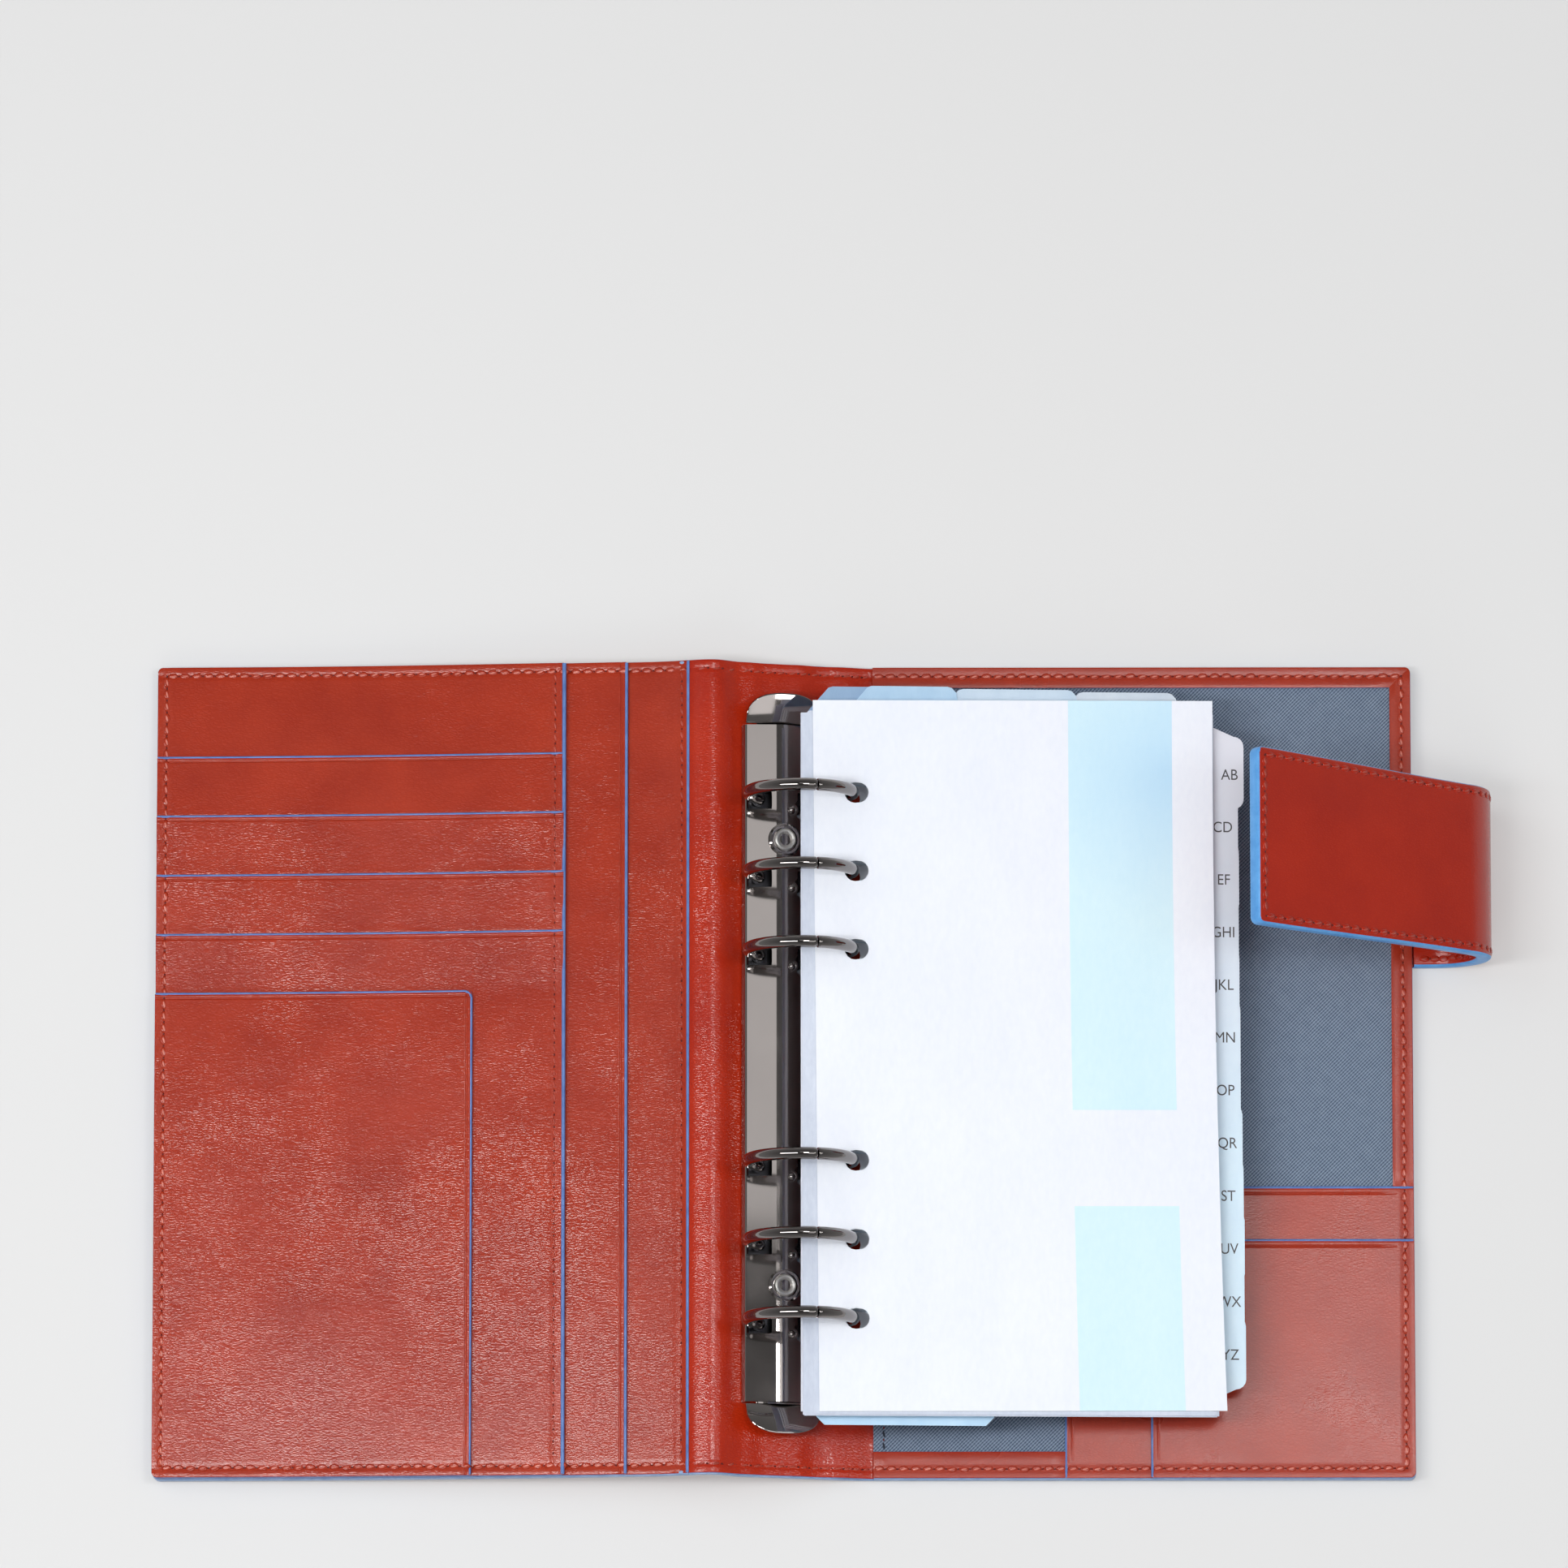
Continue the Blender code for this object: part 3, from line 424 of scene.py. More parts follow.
def grow(bm, edges, vector):
    """Extrudes a ring of edges by a vector and returns the new ring."""
    grown = bmesh.ops.extrude_edge_only(bm, edges=edges)["geom"]
    fresh = set(picked(grown, BMVert))
    bmesh.ops.translate(bm, verts=list(fresh), vec=vector)
    return [edge for edge in picked(grown, BMEdge) if fresh.issuperset(edge.verts)]


def close(bm):
    bmesh.ops.holes_fill(bm, edges=[edge for edge in bm.edges if edge.is_boundary], sides=0)


def sweep(bm, edges, moves):
    """Carries a ring along runs (vector, steps) and turns (centre, axis, angle, steps), then closes it."""
    for move in moves:
        if len(move) == 2:
            vector, steps = Vector(move[0]), move[1]
            for _ in range(steps):
                edges = grow(bm, edges, vector / steps)
        else:
            center, axis, angle, steps = move
            done = bmesh.ops.spin(bm, geom=edges, cent=center, axis=axis, angle=angle, steps=steps,
                                  use_merge=False, use_duplicate=False)
            edges = picked(done["geom_last"], BMEdge)
    close(bm)
    recalculate(bm)
    return bm


def rod(start, heading, moves, radius=BEAD_RADIUS, sides=10):
    """Round rod or bead of paint, from a start point along some moves."""
    bm = bmesh.new()
    turn = Vector((0, 0, 1)).rotation_difference(Vector(heading)).to_matrix().to_4x4()
    bmesh.ops.create_circle(bm, segments=sides, radius=radius, matrix=Matrix.Translation(start) @ turn)
    return sweep(bm, bm.edges[:], moves)


def turned(profile, center, steps):
    """Turned shape from a closed outline of (radius, height) points about an upright axis."""
    bm = bmesh.new()
    outline = chain(bm, [(center[0] + radius, center[1], height) for radius, height in profile])
    bmesh.ops.spin(bm, geom=outline, cent=(*center, 0), axis=(0, 0, 1), angle=math.tau, steps=steps,
                   use_merge=True)
    bmesh.ops.remove_doubles(bm, verts=bm.verts, dist=0.002)
    recalculate(bm)
    return bm


def link(name, mesh):
    item = bpy.data.objects.new(name, mesh)
    bpy.context.scene.collection.objects.link(item)
    return item


def add_piece(name, bm, place, materials, smooth=40.0):
    """Finished piece; a place of None means that the mesh is already where it belongs, in metres."""
    if place is not None:
        transform(bm, place)
    recalculate(bm)
    mesh = bpy.data.meshes.new(name)
    bm.to_mesh(mesh)
    bm.free()
    mesh.shade_smooth()
    mesh.set_sharp_from_angle(angle=math.radians(smooth))
    for material in materials:
        mesh.materials.append(material)
    return link(name, mesh)


def fit(item, body, slot, *nodes):
    """Puts a piece on its body; for a fold (body, body, start, end) it only bakes the piece's place into its
    mesh and leaves it on no body. Hides the parts that it stands for.
    """
    if isinstance(body, str):
        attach(item, body)
    else:
        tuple(body[2])
        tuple(body[3])
        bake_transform(item)
    if nodes:
        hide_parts(*nodes)
    return item


def add_fit(name, bm, place, materials, body, slot, *nodes):
    return fit(add_piece(name, bm, place, materials), body, slot, *nodes)


# Shader helpers

def srgb(color):
    """Linear colour from the 0 to 255 values that a screen shows."""
    values = []
    for value in color:
        share = value / 255
        values.append(share / 12.92 if share <= 0.04045 else ((share + 0.055) / 1.055) ** 2.4)
    return (*values, 1.0)


def feed(tree, sockets, values):
    """Links sockets to others or sets their values."""
    for key, value in values.items():
        if isinstance(value, bpy.types.NodeSocket):
            tree.links.new(value, sockets[key])
        else:
            sockets[key].default_value = value


def add_node(tree, kind, values=None, **settings):
    """Adds a shader node and returns its outputs."""
    node = tree.nodes.new("ShaderNode" + kind)
    for key, value in settings.items():
        setattr(node, key, value)
    feed(tree, node.inputs, values or {})
    return node.outputs


def math_node(tree, operation, *values):
    return add_node(tree, "Math", dict(enumerate(values)), operation=operation)[0]


def mix_color(tree, factor, first, second):
    """Mix of two colours; the colour sockets of the node are known by their number."""
    return add_node(tree, "Mix", {0: factor, 6: first, 7: second}, data_type="RGBA")[2]


def remap(tree, value, low, high, to_low=0.0, to_high=1.0):
    return add_node(tree, "MapRange", {"Value": value, "From Min": low, "From Max": high, "To Min": to_low,
                                       "To Max": to_high})["Result"]


def object_coordinates(tree, rotation=(0, 0, 0), scale=(1, 1, 1)):
    place = add_node(tree, "TexCoord")["Object"]
    return add_node(tree, "Mapping", {"Vector": place, "Rotation": rotation, "Scale": scale})["Vector"]


def noise_texture(tree, vector, scale, detail, roughness=0.5, distortion=0.0):
    return add_node(tree, "TexNoise", {"Vector": vector, "Scale": scale, "Detail": detail,
                                       "Roughness": roughness, "Distortion": distortion})


def new_group(name, inputs, outputs):
    """Node group with number sockets; returns its tree, what comes in and what goes out."""
    tree = bpy.data.node_groups.new(name, "ShaderNodeTree")
    for label, value in inputs.items():
        socket = tree.interface.new_socket(label, in_out="INPUT", socket_type="NodeSocketFloat")
        socket.default_value = value
    for label in outputs:
        tree.interface.new_socket(label, in_out="OUTPUT", socket_type="NodeSocketFloat")
    return tree, tree.nodes.new("NodeGroupInput").outputs, tree.nodes.new("NodeGroupOutput").inputs


def leather_grain_group():
    """Short fine creases that come and go in patches, over pores, with a slow mottle of tone."""
    tree, source, sink = new_group("leather_grain", {"Crease Scale": 1350.0, "Patch Scale": 30.0},
                                   ("Height", "Tone", "Gloss"))
    flat = object_coordinates(tree)
    patch = noise_texture(tree, flat, source["Patch Scale"], 3.0, distortion=0.6)["Fac"]
    drift = noise_texture(tree, flat, 160.0, 2.0)["Color"]
    drawn = object_coordinates(tree, rotation=(0, 0, 0.25), scale=(0.62, 1.25, 1.0))
    bent = add_node(tree, "VectorMath", {0: drift, 1: (0.0016, 0.0016, 0.0016), 2: drawn},
                    operation="MULTIPLY_ADD")[0]
    crease = add_node(tree, "TexVoronoi", {"Vector": bent, "Scale": source["Crease Scale"]},
                      feature="DISTANCE_TO_EDGE")
    line = remap(tree, crease["Distance"], 0.0, 0.28)
    depth = remap(tree, patch, 0.36, 0.64, 0.4, 0.85)
    height = math_node(tree, "MULTIPLY", math_node(tree, "SUBTRACT", line, 1.0), depth)
    for scale, detail, weight in ((2400.0, 2.0, 0.45), (760.0, 1.0, 1.1), (150.0, 1.0, 0.9)):
        swell = noise_texture(tree, bent, scale, detail)["Fac"]
        height = math_node(tree, "MULTIPLY_ADD", swell, weight, height)
    mottle = math_node(tree, "MULTIPLY", noise_texture(tree, flat, 60.0, 4.0, 0.55)["Fac"], 0.85)
    tone = math_node(tree, "MULTIPLY_ADD", line, 0.15, mottle)
    feed(tree, sink, {"Height": height, "Tone": tone, "Gloss": patch})
    return tree


def twill_group():
    """Steep diagonal ribs broken into short floats, with slubs of lighter yarn."""
    tree, source, sink = new_group("twill_weave", {"Rib Scale": 523.0, "Turn": 0.785}, ("Height", "Tone"))
    place = add_node(tree, "VectorRotate", {"Vector": object_coordinates(tree), "Angle": source["Turn"]},
                     rotation_type="Z_AXIS")["Vector"]
    rib = add_node(tree, "TexWave", {"Vector": place, "Scale": source["Rib Scale"], "Distortion": 0.6,
                                     "Detail": 1.0, "Detail Scale": 2.0}, bands_direction="X")["Fac"]
    float_wave = add_node(tree, "TexWave", {"Vector": place, "Scale": 390.0, "Distortion": 1.0},
                          bands_direction="Y")["Fac"]
    height = math_node(tree, "MULTIPLY_ADD", float_wave, 0.35, rib)
    slub = math_node(tree, "MULTIPLY", noise_texture(tree, place, 420.0, 3.0)["Fac"], 0.22)
    feed(tree, sink, {"Height": height, "Tone": math_node(tree, "MULTIPLY_ADD", height, 0.62, slub)})
    return tree


def fibre_group():
    """Cloudy paper formation with short fibres."""
    tree, source, sink = new_group("paper_fibre", {"Fibre Scale": 900.0}, ("Height", "Tone"))
    flat = object_coordinates(tree, scale=(1.0, 0.4, 1.0))
    fibre = noise_texture(tree, flat, source["Fibre Scale"], 4.0, 0.6)["Fac"]
    cloud = noise_texture(tree, flat, 70.0, 3.0)["Fac"]
    tone = math_node(tree, "MULTIPLY", math_node(tree, "ADD", fibre, cloud), 0.5)
    feed(tree, sink, {"Height": fibre, "Tone": tone})
    return tree


def smudge_group():
    """Handling haze and hairline scratches on polished metal."""
    tree, source, sink = new_group("polish_smudge", {"Haze Scale": 45.0}, ("Haze", "Height"))
    haze = noise_texture(tree, object_coordinates(tree), source["Haze Scale"], 5.0, 0.65)["Fac"]
    drawn = object_coordinates(tree, scale=(2200.0, 60.0, 900.0))
    feed(tree, sink, {"Haze": haze, "Height": noise_texture(tree, drawn, 1.0, 2.0)["Fac"]})
    return tree


GRAIN = leather_grain_group()
TWILL = twill_group()
FIBRE = fibre_group()
SMUDGE = smudge_group()


def new_material(name, group, values=None):
    """Material with an effect in it; returns both, and its tree."""
    material = bpy.data.materials.new(name)
    material.use_nodes = True
    tree = material.node_tree
    return material, tree, add_node(tree, "Group", values, node_tree=group)


def coat(material, looks, height, strength, distance):
    """Feeds a material's shader, with a bump of some height."""
    tree = material.node_tree
    normal = add_node(tree, "Bump", {"Strength": strength, "Distance": distance, "Height": height})["Normal"]
    feed(tree, tree.nodes["Principled BSDF"].inputs, {**looks, "Normal": normal})
    return material


def leather(name, dark, light, rough=(0.18, 0.22), crease=1350.0, relief=0.00003):
    material, tree, grain = new_material(name, GRAIN, {"Crease Scale": crease})
    tone = remap(tree, grain["Tone"], 0.25, 0.85)
    looks = {"Base Color": mix_color(tree, tone, srgb(dark), srgb(light)),
             "Roughness": remap(tree, grain["Gloss"], 0.3, 0.7, rough[1], rough[0])}
    return coat(material, looks, grain["Height"], 1.0, relief)


def edge_paint(name, dark, light):
    material, tree, smudge = new_material(name, SMUDGE, {"Haze Scale": 260.0})
    haze = smudge["Haze"]
    looks = {"Base Color": mix_color(tree, remap(tree, haze, 0.3, 0.7), srgb(dark), srgb(light)),
             "Roughness": remap(tree, haze, 0.3, 0.7, 0.5, 0.38)}
    return coat(material, looks, haze, 0.1, 0.00005)


def cloth(name, dark, light):
    material, tree, weave = new_material(name, TWILL)
    tone = weave["Tone"]
    looks = {"Base Color": mix_color(tree, remap(tree, tone, 0.12, 0.9), srgb(dark), srgb(light)),
             "Roughness": remap(tree, tone, 0.2, 0.9, 0.85, 0.6), "Sheen Weight": 0.2}
    return coat(material, looks, weave["Height"], 0.6, 0.0001)


def metal(name, color, rough=(0.04, 0.10)):
    material, tree, smudge = new_material(name, SMUDGE)
    tint = srgb(color)
    dark = tuple(0.82 * value for value in tint[:3]) + (1.0,)
    looks = {"Base Color": mix_color(tree, smudge["Haze"], dark, tint),
             "Roughness": remap(tree, smudge["Haze"], 0.3, 0.75, rough[0], rough[1]), "Metallic": 1.0}
    return coat(material, looks, smudge["Height"], 0.04, 0.00002)


def paper(name, shade, light, rough=0.6, fibre=900.0, drift=None):
    """Paper, card or film; drift is another colour, the place it spreads from, its reach and its share."""
    material, tree, fibres = new_material(name, FIBRE, {"Fibre Scale": fibre})
    tone = fibres["Tone"]
    color = mix_color(tree, remap(tree, tone, 0.3, 0.7), srgb(shade), srgb(light))
    if drift:
        tint, place, reach, share = drift
        spot = tuple(PAGES @ Vector(place))
        ends = {0: object_coordinates(tree), 1: spot}
        off = add_node(tree, "VectorMath", ends, operation="DISTANCE")["Value"]
        color = mix_color(tree, remap(tree, off, 0.0, reach, share, 0.0), color, srgb(tint))
    looks = {"Base Color": color, "Roughness": remap(tree, tone, 0.3, 0.7, rough + 0.08, rough - 0.08),
             "Specular IOR Level": 0.25}
    return coat(material, looks, fibres["Height"], 0.1, 0.00003)


def film(name, shade, light):
    return paper(name, shade, light, 0.35, 300.0)


RED = leather("glazed_leather", (150, 39, 17), (177, 55, 27), relief=0.000023)
BACK_RED = leather("back_leather", (150, 39, 17), (177, 55, 27), (0.26, 0.32), relief=0.000012)
SPINE_RED = leather("spine_leather", (162, 32, 8), (188, 48, 15))
# The strap's own more orange red, made brighter as painted light to make up for the light its tilted face
# loses.
STRAP_RED_BRIGHTENED = leather("strap_leather", (164, 29, 3), (184, 40, 7), (0.18, 0.26), 1400.0, 0.000022)
PAINT = edge_paint("edge_paint", (74, 108, 172), (102, 136, 196))
# Lightened copy of the blue edge paint: painted light on the outward faces of the edge bands, which the
# lamps light less, most of all on the bottom edge.
BAND_PAINT_LIGHTENED = edge_paint("cover_edge_paint_lightened", (124, 150, 190), (152, 176, 210))
STRAP_PAINT = edge_paint("strap_edge_paint", (74, 146, 214), (98, 168, 230))
THREAD = leather("red_thread", (150, 44, 30), (206, 96, 78), (0.25, 0.4), 2600.0)
# Lighter copy of the red thread for the edge rows: a painted highlight standing for the glints on the
# puckered edge stitches.
THREAD_HIGHLIGHTED = leather("thread_painted_highlight", (184, 80, 64), (238, 158, 142), (0.25, 0.4), 2600.0)
# Dark red for a disc at each needle hole: painted shade in the hole.
HOLE_SHADE = leather("needle_hole_painted_shade", (92, 16, 9), (118, 24, 14), (0.6, 0.8), 1200.0)
DARK_THREAD = leather("dark_thread", (28, 34, 46), (52, 60, 76), (0.5, 0.7), 2600.0)
LINING_CLOTH = cloth("twill_lining", (56, 74, 98), (138, 154, 174))
GUNMETAL = metal("polished_gunmetal", (180, 173, 170))
# Darkened steel for the blades: painted shade for the dark inside of the housing seen through the ring
# slots.
BLADE_STEEL_SHADED = metal("blade_steel_painted_shade", (74, 74, 78), (0.2, 0.35))
RING_METAL = metal("dark_nickel", (144, 139, 137))
STEEL = metal("bright_steel", (222, 220, 216), (0.45, 0.6))
PAPER = paper("white_paper", (235, 240, 251), (243, 247, 255))
# Greyer copy of the white paper: painted shade for the sheets under the title sheet.
PAPER_SHADED = paper("paper_painted_shade", (198, 206, 222), (218, 225, 238))
PRINT = paper("printed_band", (212, 241, 252), (220, 246, 254),
              drift=((170, 215, 251), (TITLE_LEFT + 86, 68, 1), 0.036, 0.58))
CARD = paper("index_card", (208, 230, 246), (218, 238, 250), 0.45, 600.0,
             drift=((226, 228, 238), (TITLE_LEFT + 98, 80, -2), 0.11, 1.0))
INK = paper("index_ink", (72, 72, 76), (92, 92, 96), 0.7)
FILM_TINTS = (film("film_steel_blue", (134, 164, 198), (160, 188, 216)),
              film("film_light_blue", (166, 200, 228), (192, 220, 242)),
              film("film_pale_blue", (194, 214, 232), (212, 228, 242)),
              film("film_grey_blue", (200, 211, 224), (218, 227, 237)))
MARKER = film("film_marker", (176, 212, 238), (192, 224, 246))
GREYBOARD = paper("greyboard", (140, 132, 118), (166, 158, 142), 0.85, 400.0)


# Front cover

def ripple(x, y):
    return RIPPLE * noise.noise(Vector((x / RIPPLE_LENGTH, y / RIPPLE_LENGTH, 0.3)))


def fold_roll(x):
    """The leathers roll up over the fold beside the ring housing."""
    return ROLL_RISE * smoothstep(ROLL[0], ROLL[1], x) * (1 - smoothstep(ROLL[1], ROLL[2], x))


def front_relief(x, y):
    """The cover sags between its outer edge and the spine, and its leather ripples a little."""
    share = min(max((x - FRONT_EDGE) / FRONT_WIDTH, 0.0), 1.0)
    fade = smoothstep(0.0, 0.25, 1.0 - share)
    return ripple(x, y) * fade - FRONT_SAG * 4 * share * (1 - share) + fold_roll(x)


def front_level(level):
    """Level over the outer face, as a height in the frame of the front cover's or the spine's hinge."""
    return level - HINGE_HEIGHT


front_leathers = []


def shoulder(y, edge):
    """Lift of a card pocket towards its upper edge, where it passes over the pocket behind."""
    return SHOULDER_RISE * min(max(1.0 + (y - edge) / SHOULDER, 0.0), 1.0)


def front_panel(name, right, top, layer, rows, bottom=COVER_LOW, lifted=False, creases=(),
                groove=POCKET_CREASE):
    """Leather panel or pocket sewn at the cover's left edge."""
    low, high = map(front_level, layer)
    rounded = [(-1, side) for side, at in ((-1, bottom), (1, top)) if abs(at) >= COVER_HALF]
    bm = open_sheet(FRONT_EDGE, right, bottom, top, high, rounded=rounded)
    if lifted or bottom > COVER_LOW:
        cut_across(bm, 1, (top - SHOULDER,))
    press(bm, creases, groove)
    press(bm, rows, ROW_GROOVE)
    thicken(bm, low, easing=0.2)
    paint_sides(bm)
    if lifted:
        relieve(bm, lambda x, y: shoulder(y, top))
    relieve(bm, front_relief)
    front_leathers.append(add_fit(name, bm, FRONT, (RED, PAINT), "front_cover", "leather", name))


def front_bead(name, start, heading, moves, radius=BEAD_RADIUS):
    bm = rod(start, heading, moves, radius)
    relieve(bm, front_relief)
    add_fit(name, bm, FRONT, (PAINT,), "front_cover", "leather")


def build_front():
    left_row, low_row, top_row = (0, FRONT_EDGE + STITCH_INSET), (1, STITCH_LOW), (1, STITCH_HIGH)
    edge_rows = (left_row, low_row, top_row)
    front_panel("front_base_panel", BASE_EDGE, COVER_HALF, BASE_PANEL, edge_rows + ((0, BASE_ROW),))
    front_panel("front_side_pocket", SIDE_EDGE, COVER_HALF, SIDE_PANEL, edge_rows,
                creases=((0, SIDE_EDGE - SIDE_FOLD),), groove=SIDE_CREASE)
    front_panel("front_card_panel", CARD_EDGE, COVER_HALF, CARD_PANEL, edge_rows + ((0, CARD_ROW),))
    start_x = FRONT_EDGE + BEAD_INSET
    for index in range(CARD_POCKETS):
        edge = CARD_TOP - CARD_PITCH * index
        last = index == CARD_POCKETS - 1
        name = "card_pocket_%d" % (index + 1)
        front_panel(name, CARD_EDGE, edge, CARD_POCKET, (left_row, (0, CARD_ROW)) + (low_row,) * last,
                    bottom=COVER_LOW if last else edge - CARD_PITCH - CARD_TUCK, lifted=index > 0,
                    creases=((1, edge - CARD_FOLD),), groove=CARD_CREASE)
        level = front_level(CARD_POCKET[1]) - BEAD_SINK + (SHOULDER_RISE if index else 0.0)
        front_bead(name + "_edge", (start_x, edge, level), (1, 0, 0),
                   [((CARD_EDGE - FRONT_EDGE - 2 * BEAD_INSET, 0, 0), 24)])
    edge = CARD_TOP - CARD_POCKETS * CARD_PITCH
    front_panel("front_slip_pocket", SLIP_EDGE, edge, SLIP_POCKET, (left_row, low_row),
                creases=((1, edge - SLIP_FOLD), (0, SLIP_EDGE - SLIP_FOLD)))
    level = front_level(SLIP_POCKET[1]) - BEAD_SINK
    moves = [((SLIP_EDGE - SLIP_CORNER - FRONT_EDGE - BEAD_INSET, 0, 0), 16),
             ((SLIP_EDGE - SLIP_CORNER, edge - SLIP_CORNER, level), (0, 0, 1), -math.pi / 2, 6),
             ((0, COVER_LOW - edge + SLIP_CORNER + BEAD_INSET, 0), 24)]
    front_bead("slip_pocket_edge", (start_x, edge, level), (1, 0, 0), moves)
    for name, at, layer, lift, radius in (("base_panel_edge", BASE_EDGE, BASE_PANEL, -0.2, 0.4),
                                          ("side_pocket_edge", SIDE_EDGE, SIDE_PANEL, -0.2, 0.4),
                                          ("card_panel_edge", CARD_EDGE, CARD_PANEL, 0.25, 0.5)):
        start = (at, COVER_HALF - BEAD_INSET, front_level(layer[1]) + lift)
        front_bead(name, start, (0, -1, 0), [((0, COVER_LOW - COVER_HALF + 2 * BEAD_INSET, 0), 40)], radius)

    low, high = map(front_level, BOARD)
    board = open_sheet(FRONT_EDGE + BOARD_INSET, BOARD_END, BOARD_INSET - COVER_HALF,
                       COVER_HALF - BOARD_INSET, high, step=8.0)
    thicken(board, low, easing=0.1)
    relieve(board, front_relief)
    add_fit("front_board", board, FRONT, (GREYBOARD,), "front_cover", "board", "front_board",
            "front_keeper_plate")


# Spine and outer leather, which fold

def folded(place_a, hinge_a, place_b, hinge_b, radius=FOLD_EASE):
    """Function that lays (u, y, z) over two frames meeting at a hinge, with the corner eased."""
    def lay(u, y, z):
        def on_a(run):
            return place_a @ Vector((hinge_a + run, y, z))

        def on_b(run):
            return place_b @ Vector((hinge_b + run, y, z))

        if u <= -radius:
            return on_a(u)
        if u >= radius:
            return on_b(u)
        share = (u + radius) / (2 * radius)
        corner = (on_a(0) + on_b(0)) / 2
        return (on_a(-radius) * (1 - share) ** 2 + corner * 2 * share * (1 - share)
                + on_b(radius) * share ** 2)
    return lay


def fold_ends(first, second, lay):
    """The bodies on both sides of a fold, and the points where its bend starts and ends."""
    return first, second, lay(-FOLD_REACH, 0, -HINGE_HEIGHT / 2), lay(FOLD_REACH, 0, -HINGE_HEIGHT / 2)


LAYS = {"left": folded(FRONT, 0, SPINE, -SPINE_WIDTH), "right": folded(SPINE, 0, BACK_HINGE, 0)}
FOLDS = {"left": fold_ends("front_cover", "spine", LAYS["left"]),
         "right": fold_ends("spine", "back_cover", LAYS["right"])}
SEAMS = {"left": SPINE_WIDTH - MECHANISM_OFFSET, "right": -MECHANISM_OFFSET}


def add_folded(name, bm, side, materials, slot, *nodes):
    for vert in bm.verts:
        vert.co = LAYS[side](*vert.co)
    return add_fit(name, bm, None, materials, FOLDS[side], slot, *nodes)


def spine_folds(u, y):
    """Soft upright folds in the loose leather beyond the ends of the ring housing."""
    loose = smoothstep(*LOOSE_ENDS, abs(y))
    return 0.34 * loose * math.sin(u / 1.9 + 0.03 * y) + ripple(u + 40, y)


def left_drop(u):
    """Fall of the spine's inner leather where it slips under the front cover's base panel."""
    return SPINE_DROP * (1 - smoothstep(*LEFT_SLIP, u))


def left_relief(u, y):
    fade = smoothstep(0, 6, u) * smoothstep(0, 6, SEAMS["left"] - u)
    return spine_folds(u, y) * fade - left_drop(u) + front_relief(u, y)


def right_relief(u, y):
    fade = smoothstep(0, 6, u - SEAMS["right"]) * smoothstep(6, 0, u + 4)
    return spine_folds(u, y) * fade - SPINE_DROP * smoothstep(*RIGHT_SLIP, u)


spine_leathers = []


def build_spine():
    low, high = map(front_level, BASE_PANEL)
    for side, start, end, relief, node in (
            ("left", SPINE_SPAN[0], SEAMS["left"], left_relief, "front_hinge_leather"),
            ("right", SEAMS["right"], SPINE_SPAN[1], right_relief, "back_hinge_leather")):
        bm = open_sheet(start, end, COVER_LOW, COVER_HALF, high, step=1.5)
        press(bm, ((1, STITCH_LOW), (1, STITCH_HIGH)), ROW_GROOVE)
        thicken(bm, low, 0.2, SEAMS[side])
        for face in bm.faces:
            if abs(face.normal.y) > 0.6:
                face.material_index = 1
        relieve(bm, relief)
        spine_leathers.append(add_folded("spine_leather_" + side, bm, side, (SPINE_RED, PAINT),
                                         "spine_leather", "spine_inner_leather", node))

    low, high = map(front_level, OUTER_LEATHER)
    for cover, side, start, end, corners in (("front", "left", FRONT_EDGE, SEAMS["left"], LEFT_CORNERS),
                                             ("back", "right", SEAMS["right"], -FRONT_EDGE, RIGHT_CORNERS)):
        bm = open_sheet(start, end, COVER_LOW, COVER_HALF, high, rounded=corners)
        cut_across(bm, 0, range(-9, 10))
        thicken(bm, low, 0.3, SEAMS[side])
        if cover == "front":
            relieve(bm, front_relief)
        add_folded("outer_leather_" + cover, bm, side, (RED, PAINT), "leather", cover + "_outer_leather",
                   "spine_outer_leather")

    for side, start, end in (("left", PAINT_SPAN[0], SEAMS["left"]),
                             ("right", SEAMS["right"], PAINT_SPAN[1])):
        bars = []
        for y0, y1 in ((COVER_LOW - BOTTOM_PAINT, COVER_LOW + BAND_WIDTH),
                       (COVER_HALF - BAND_WIDTH, COVER_HALF + BAND_PROUD)):
            bm = open_sheet(start, end, y0, y1, -0.9, step=1.0)
            thicken(bm, -HINGE_HEIGHT + 0.25, 0.15, SEAMS[side])
            for vert in bm.verts:
                upper = vert.co.z > -HINGE_HEIGHT / 2
                if side == "left":
                    vert.co.z += front_relief(vert.co.x, vert.co.y) - left_drop(vert.co.x) * upper
                else:
                    vert.co.z -= 0.9 * smoothstep(-4.0, 0.0, vert.co.x) * upper
            bars.append(bm)
        # The spine's edge bars take the lightened edge paint, which is painted light.
        add_folded("spine_edge_paint_" + side, join(bars), side, (BAND_PAINT_LIGHTENED,), "spine_leather")

    bm = bmesh.new()
    bm.from_mesh(frame["nodes"]["spine_stiffener"].data)
    transform(bm, SPINE.inverted())
    bmesh.ops.remove_doubles(bm, verts=bm.verts, dist=0.001)
    for x, side in zip(STIFFENER, (-1, 1)):
        cut(bm, (x, 0, 0), (side, 0, 0), clear=True)
    close(bm)
    add_fit("spine_stiffener", bm, SPINE, (STEEL,), "spine", "steel", "spine_stiffener")


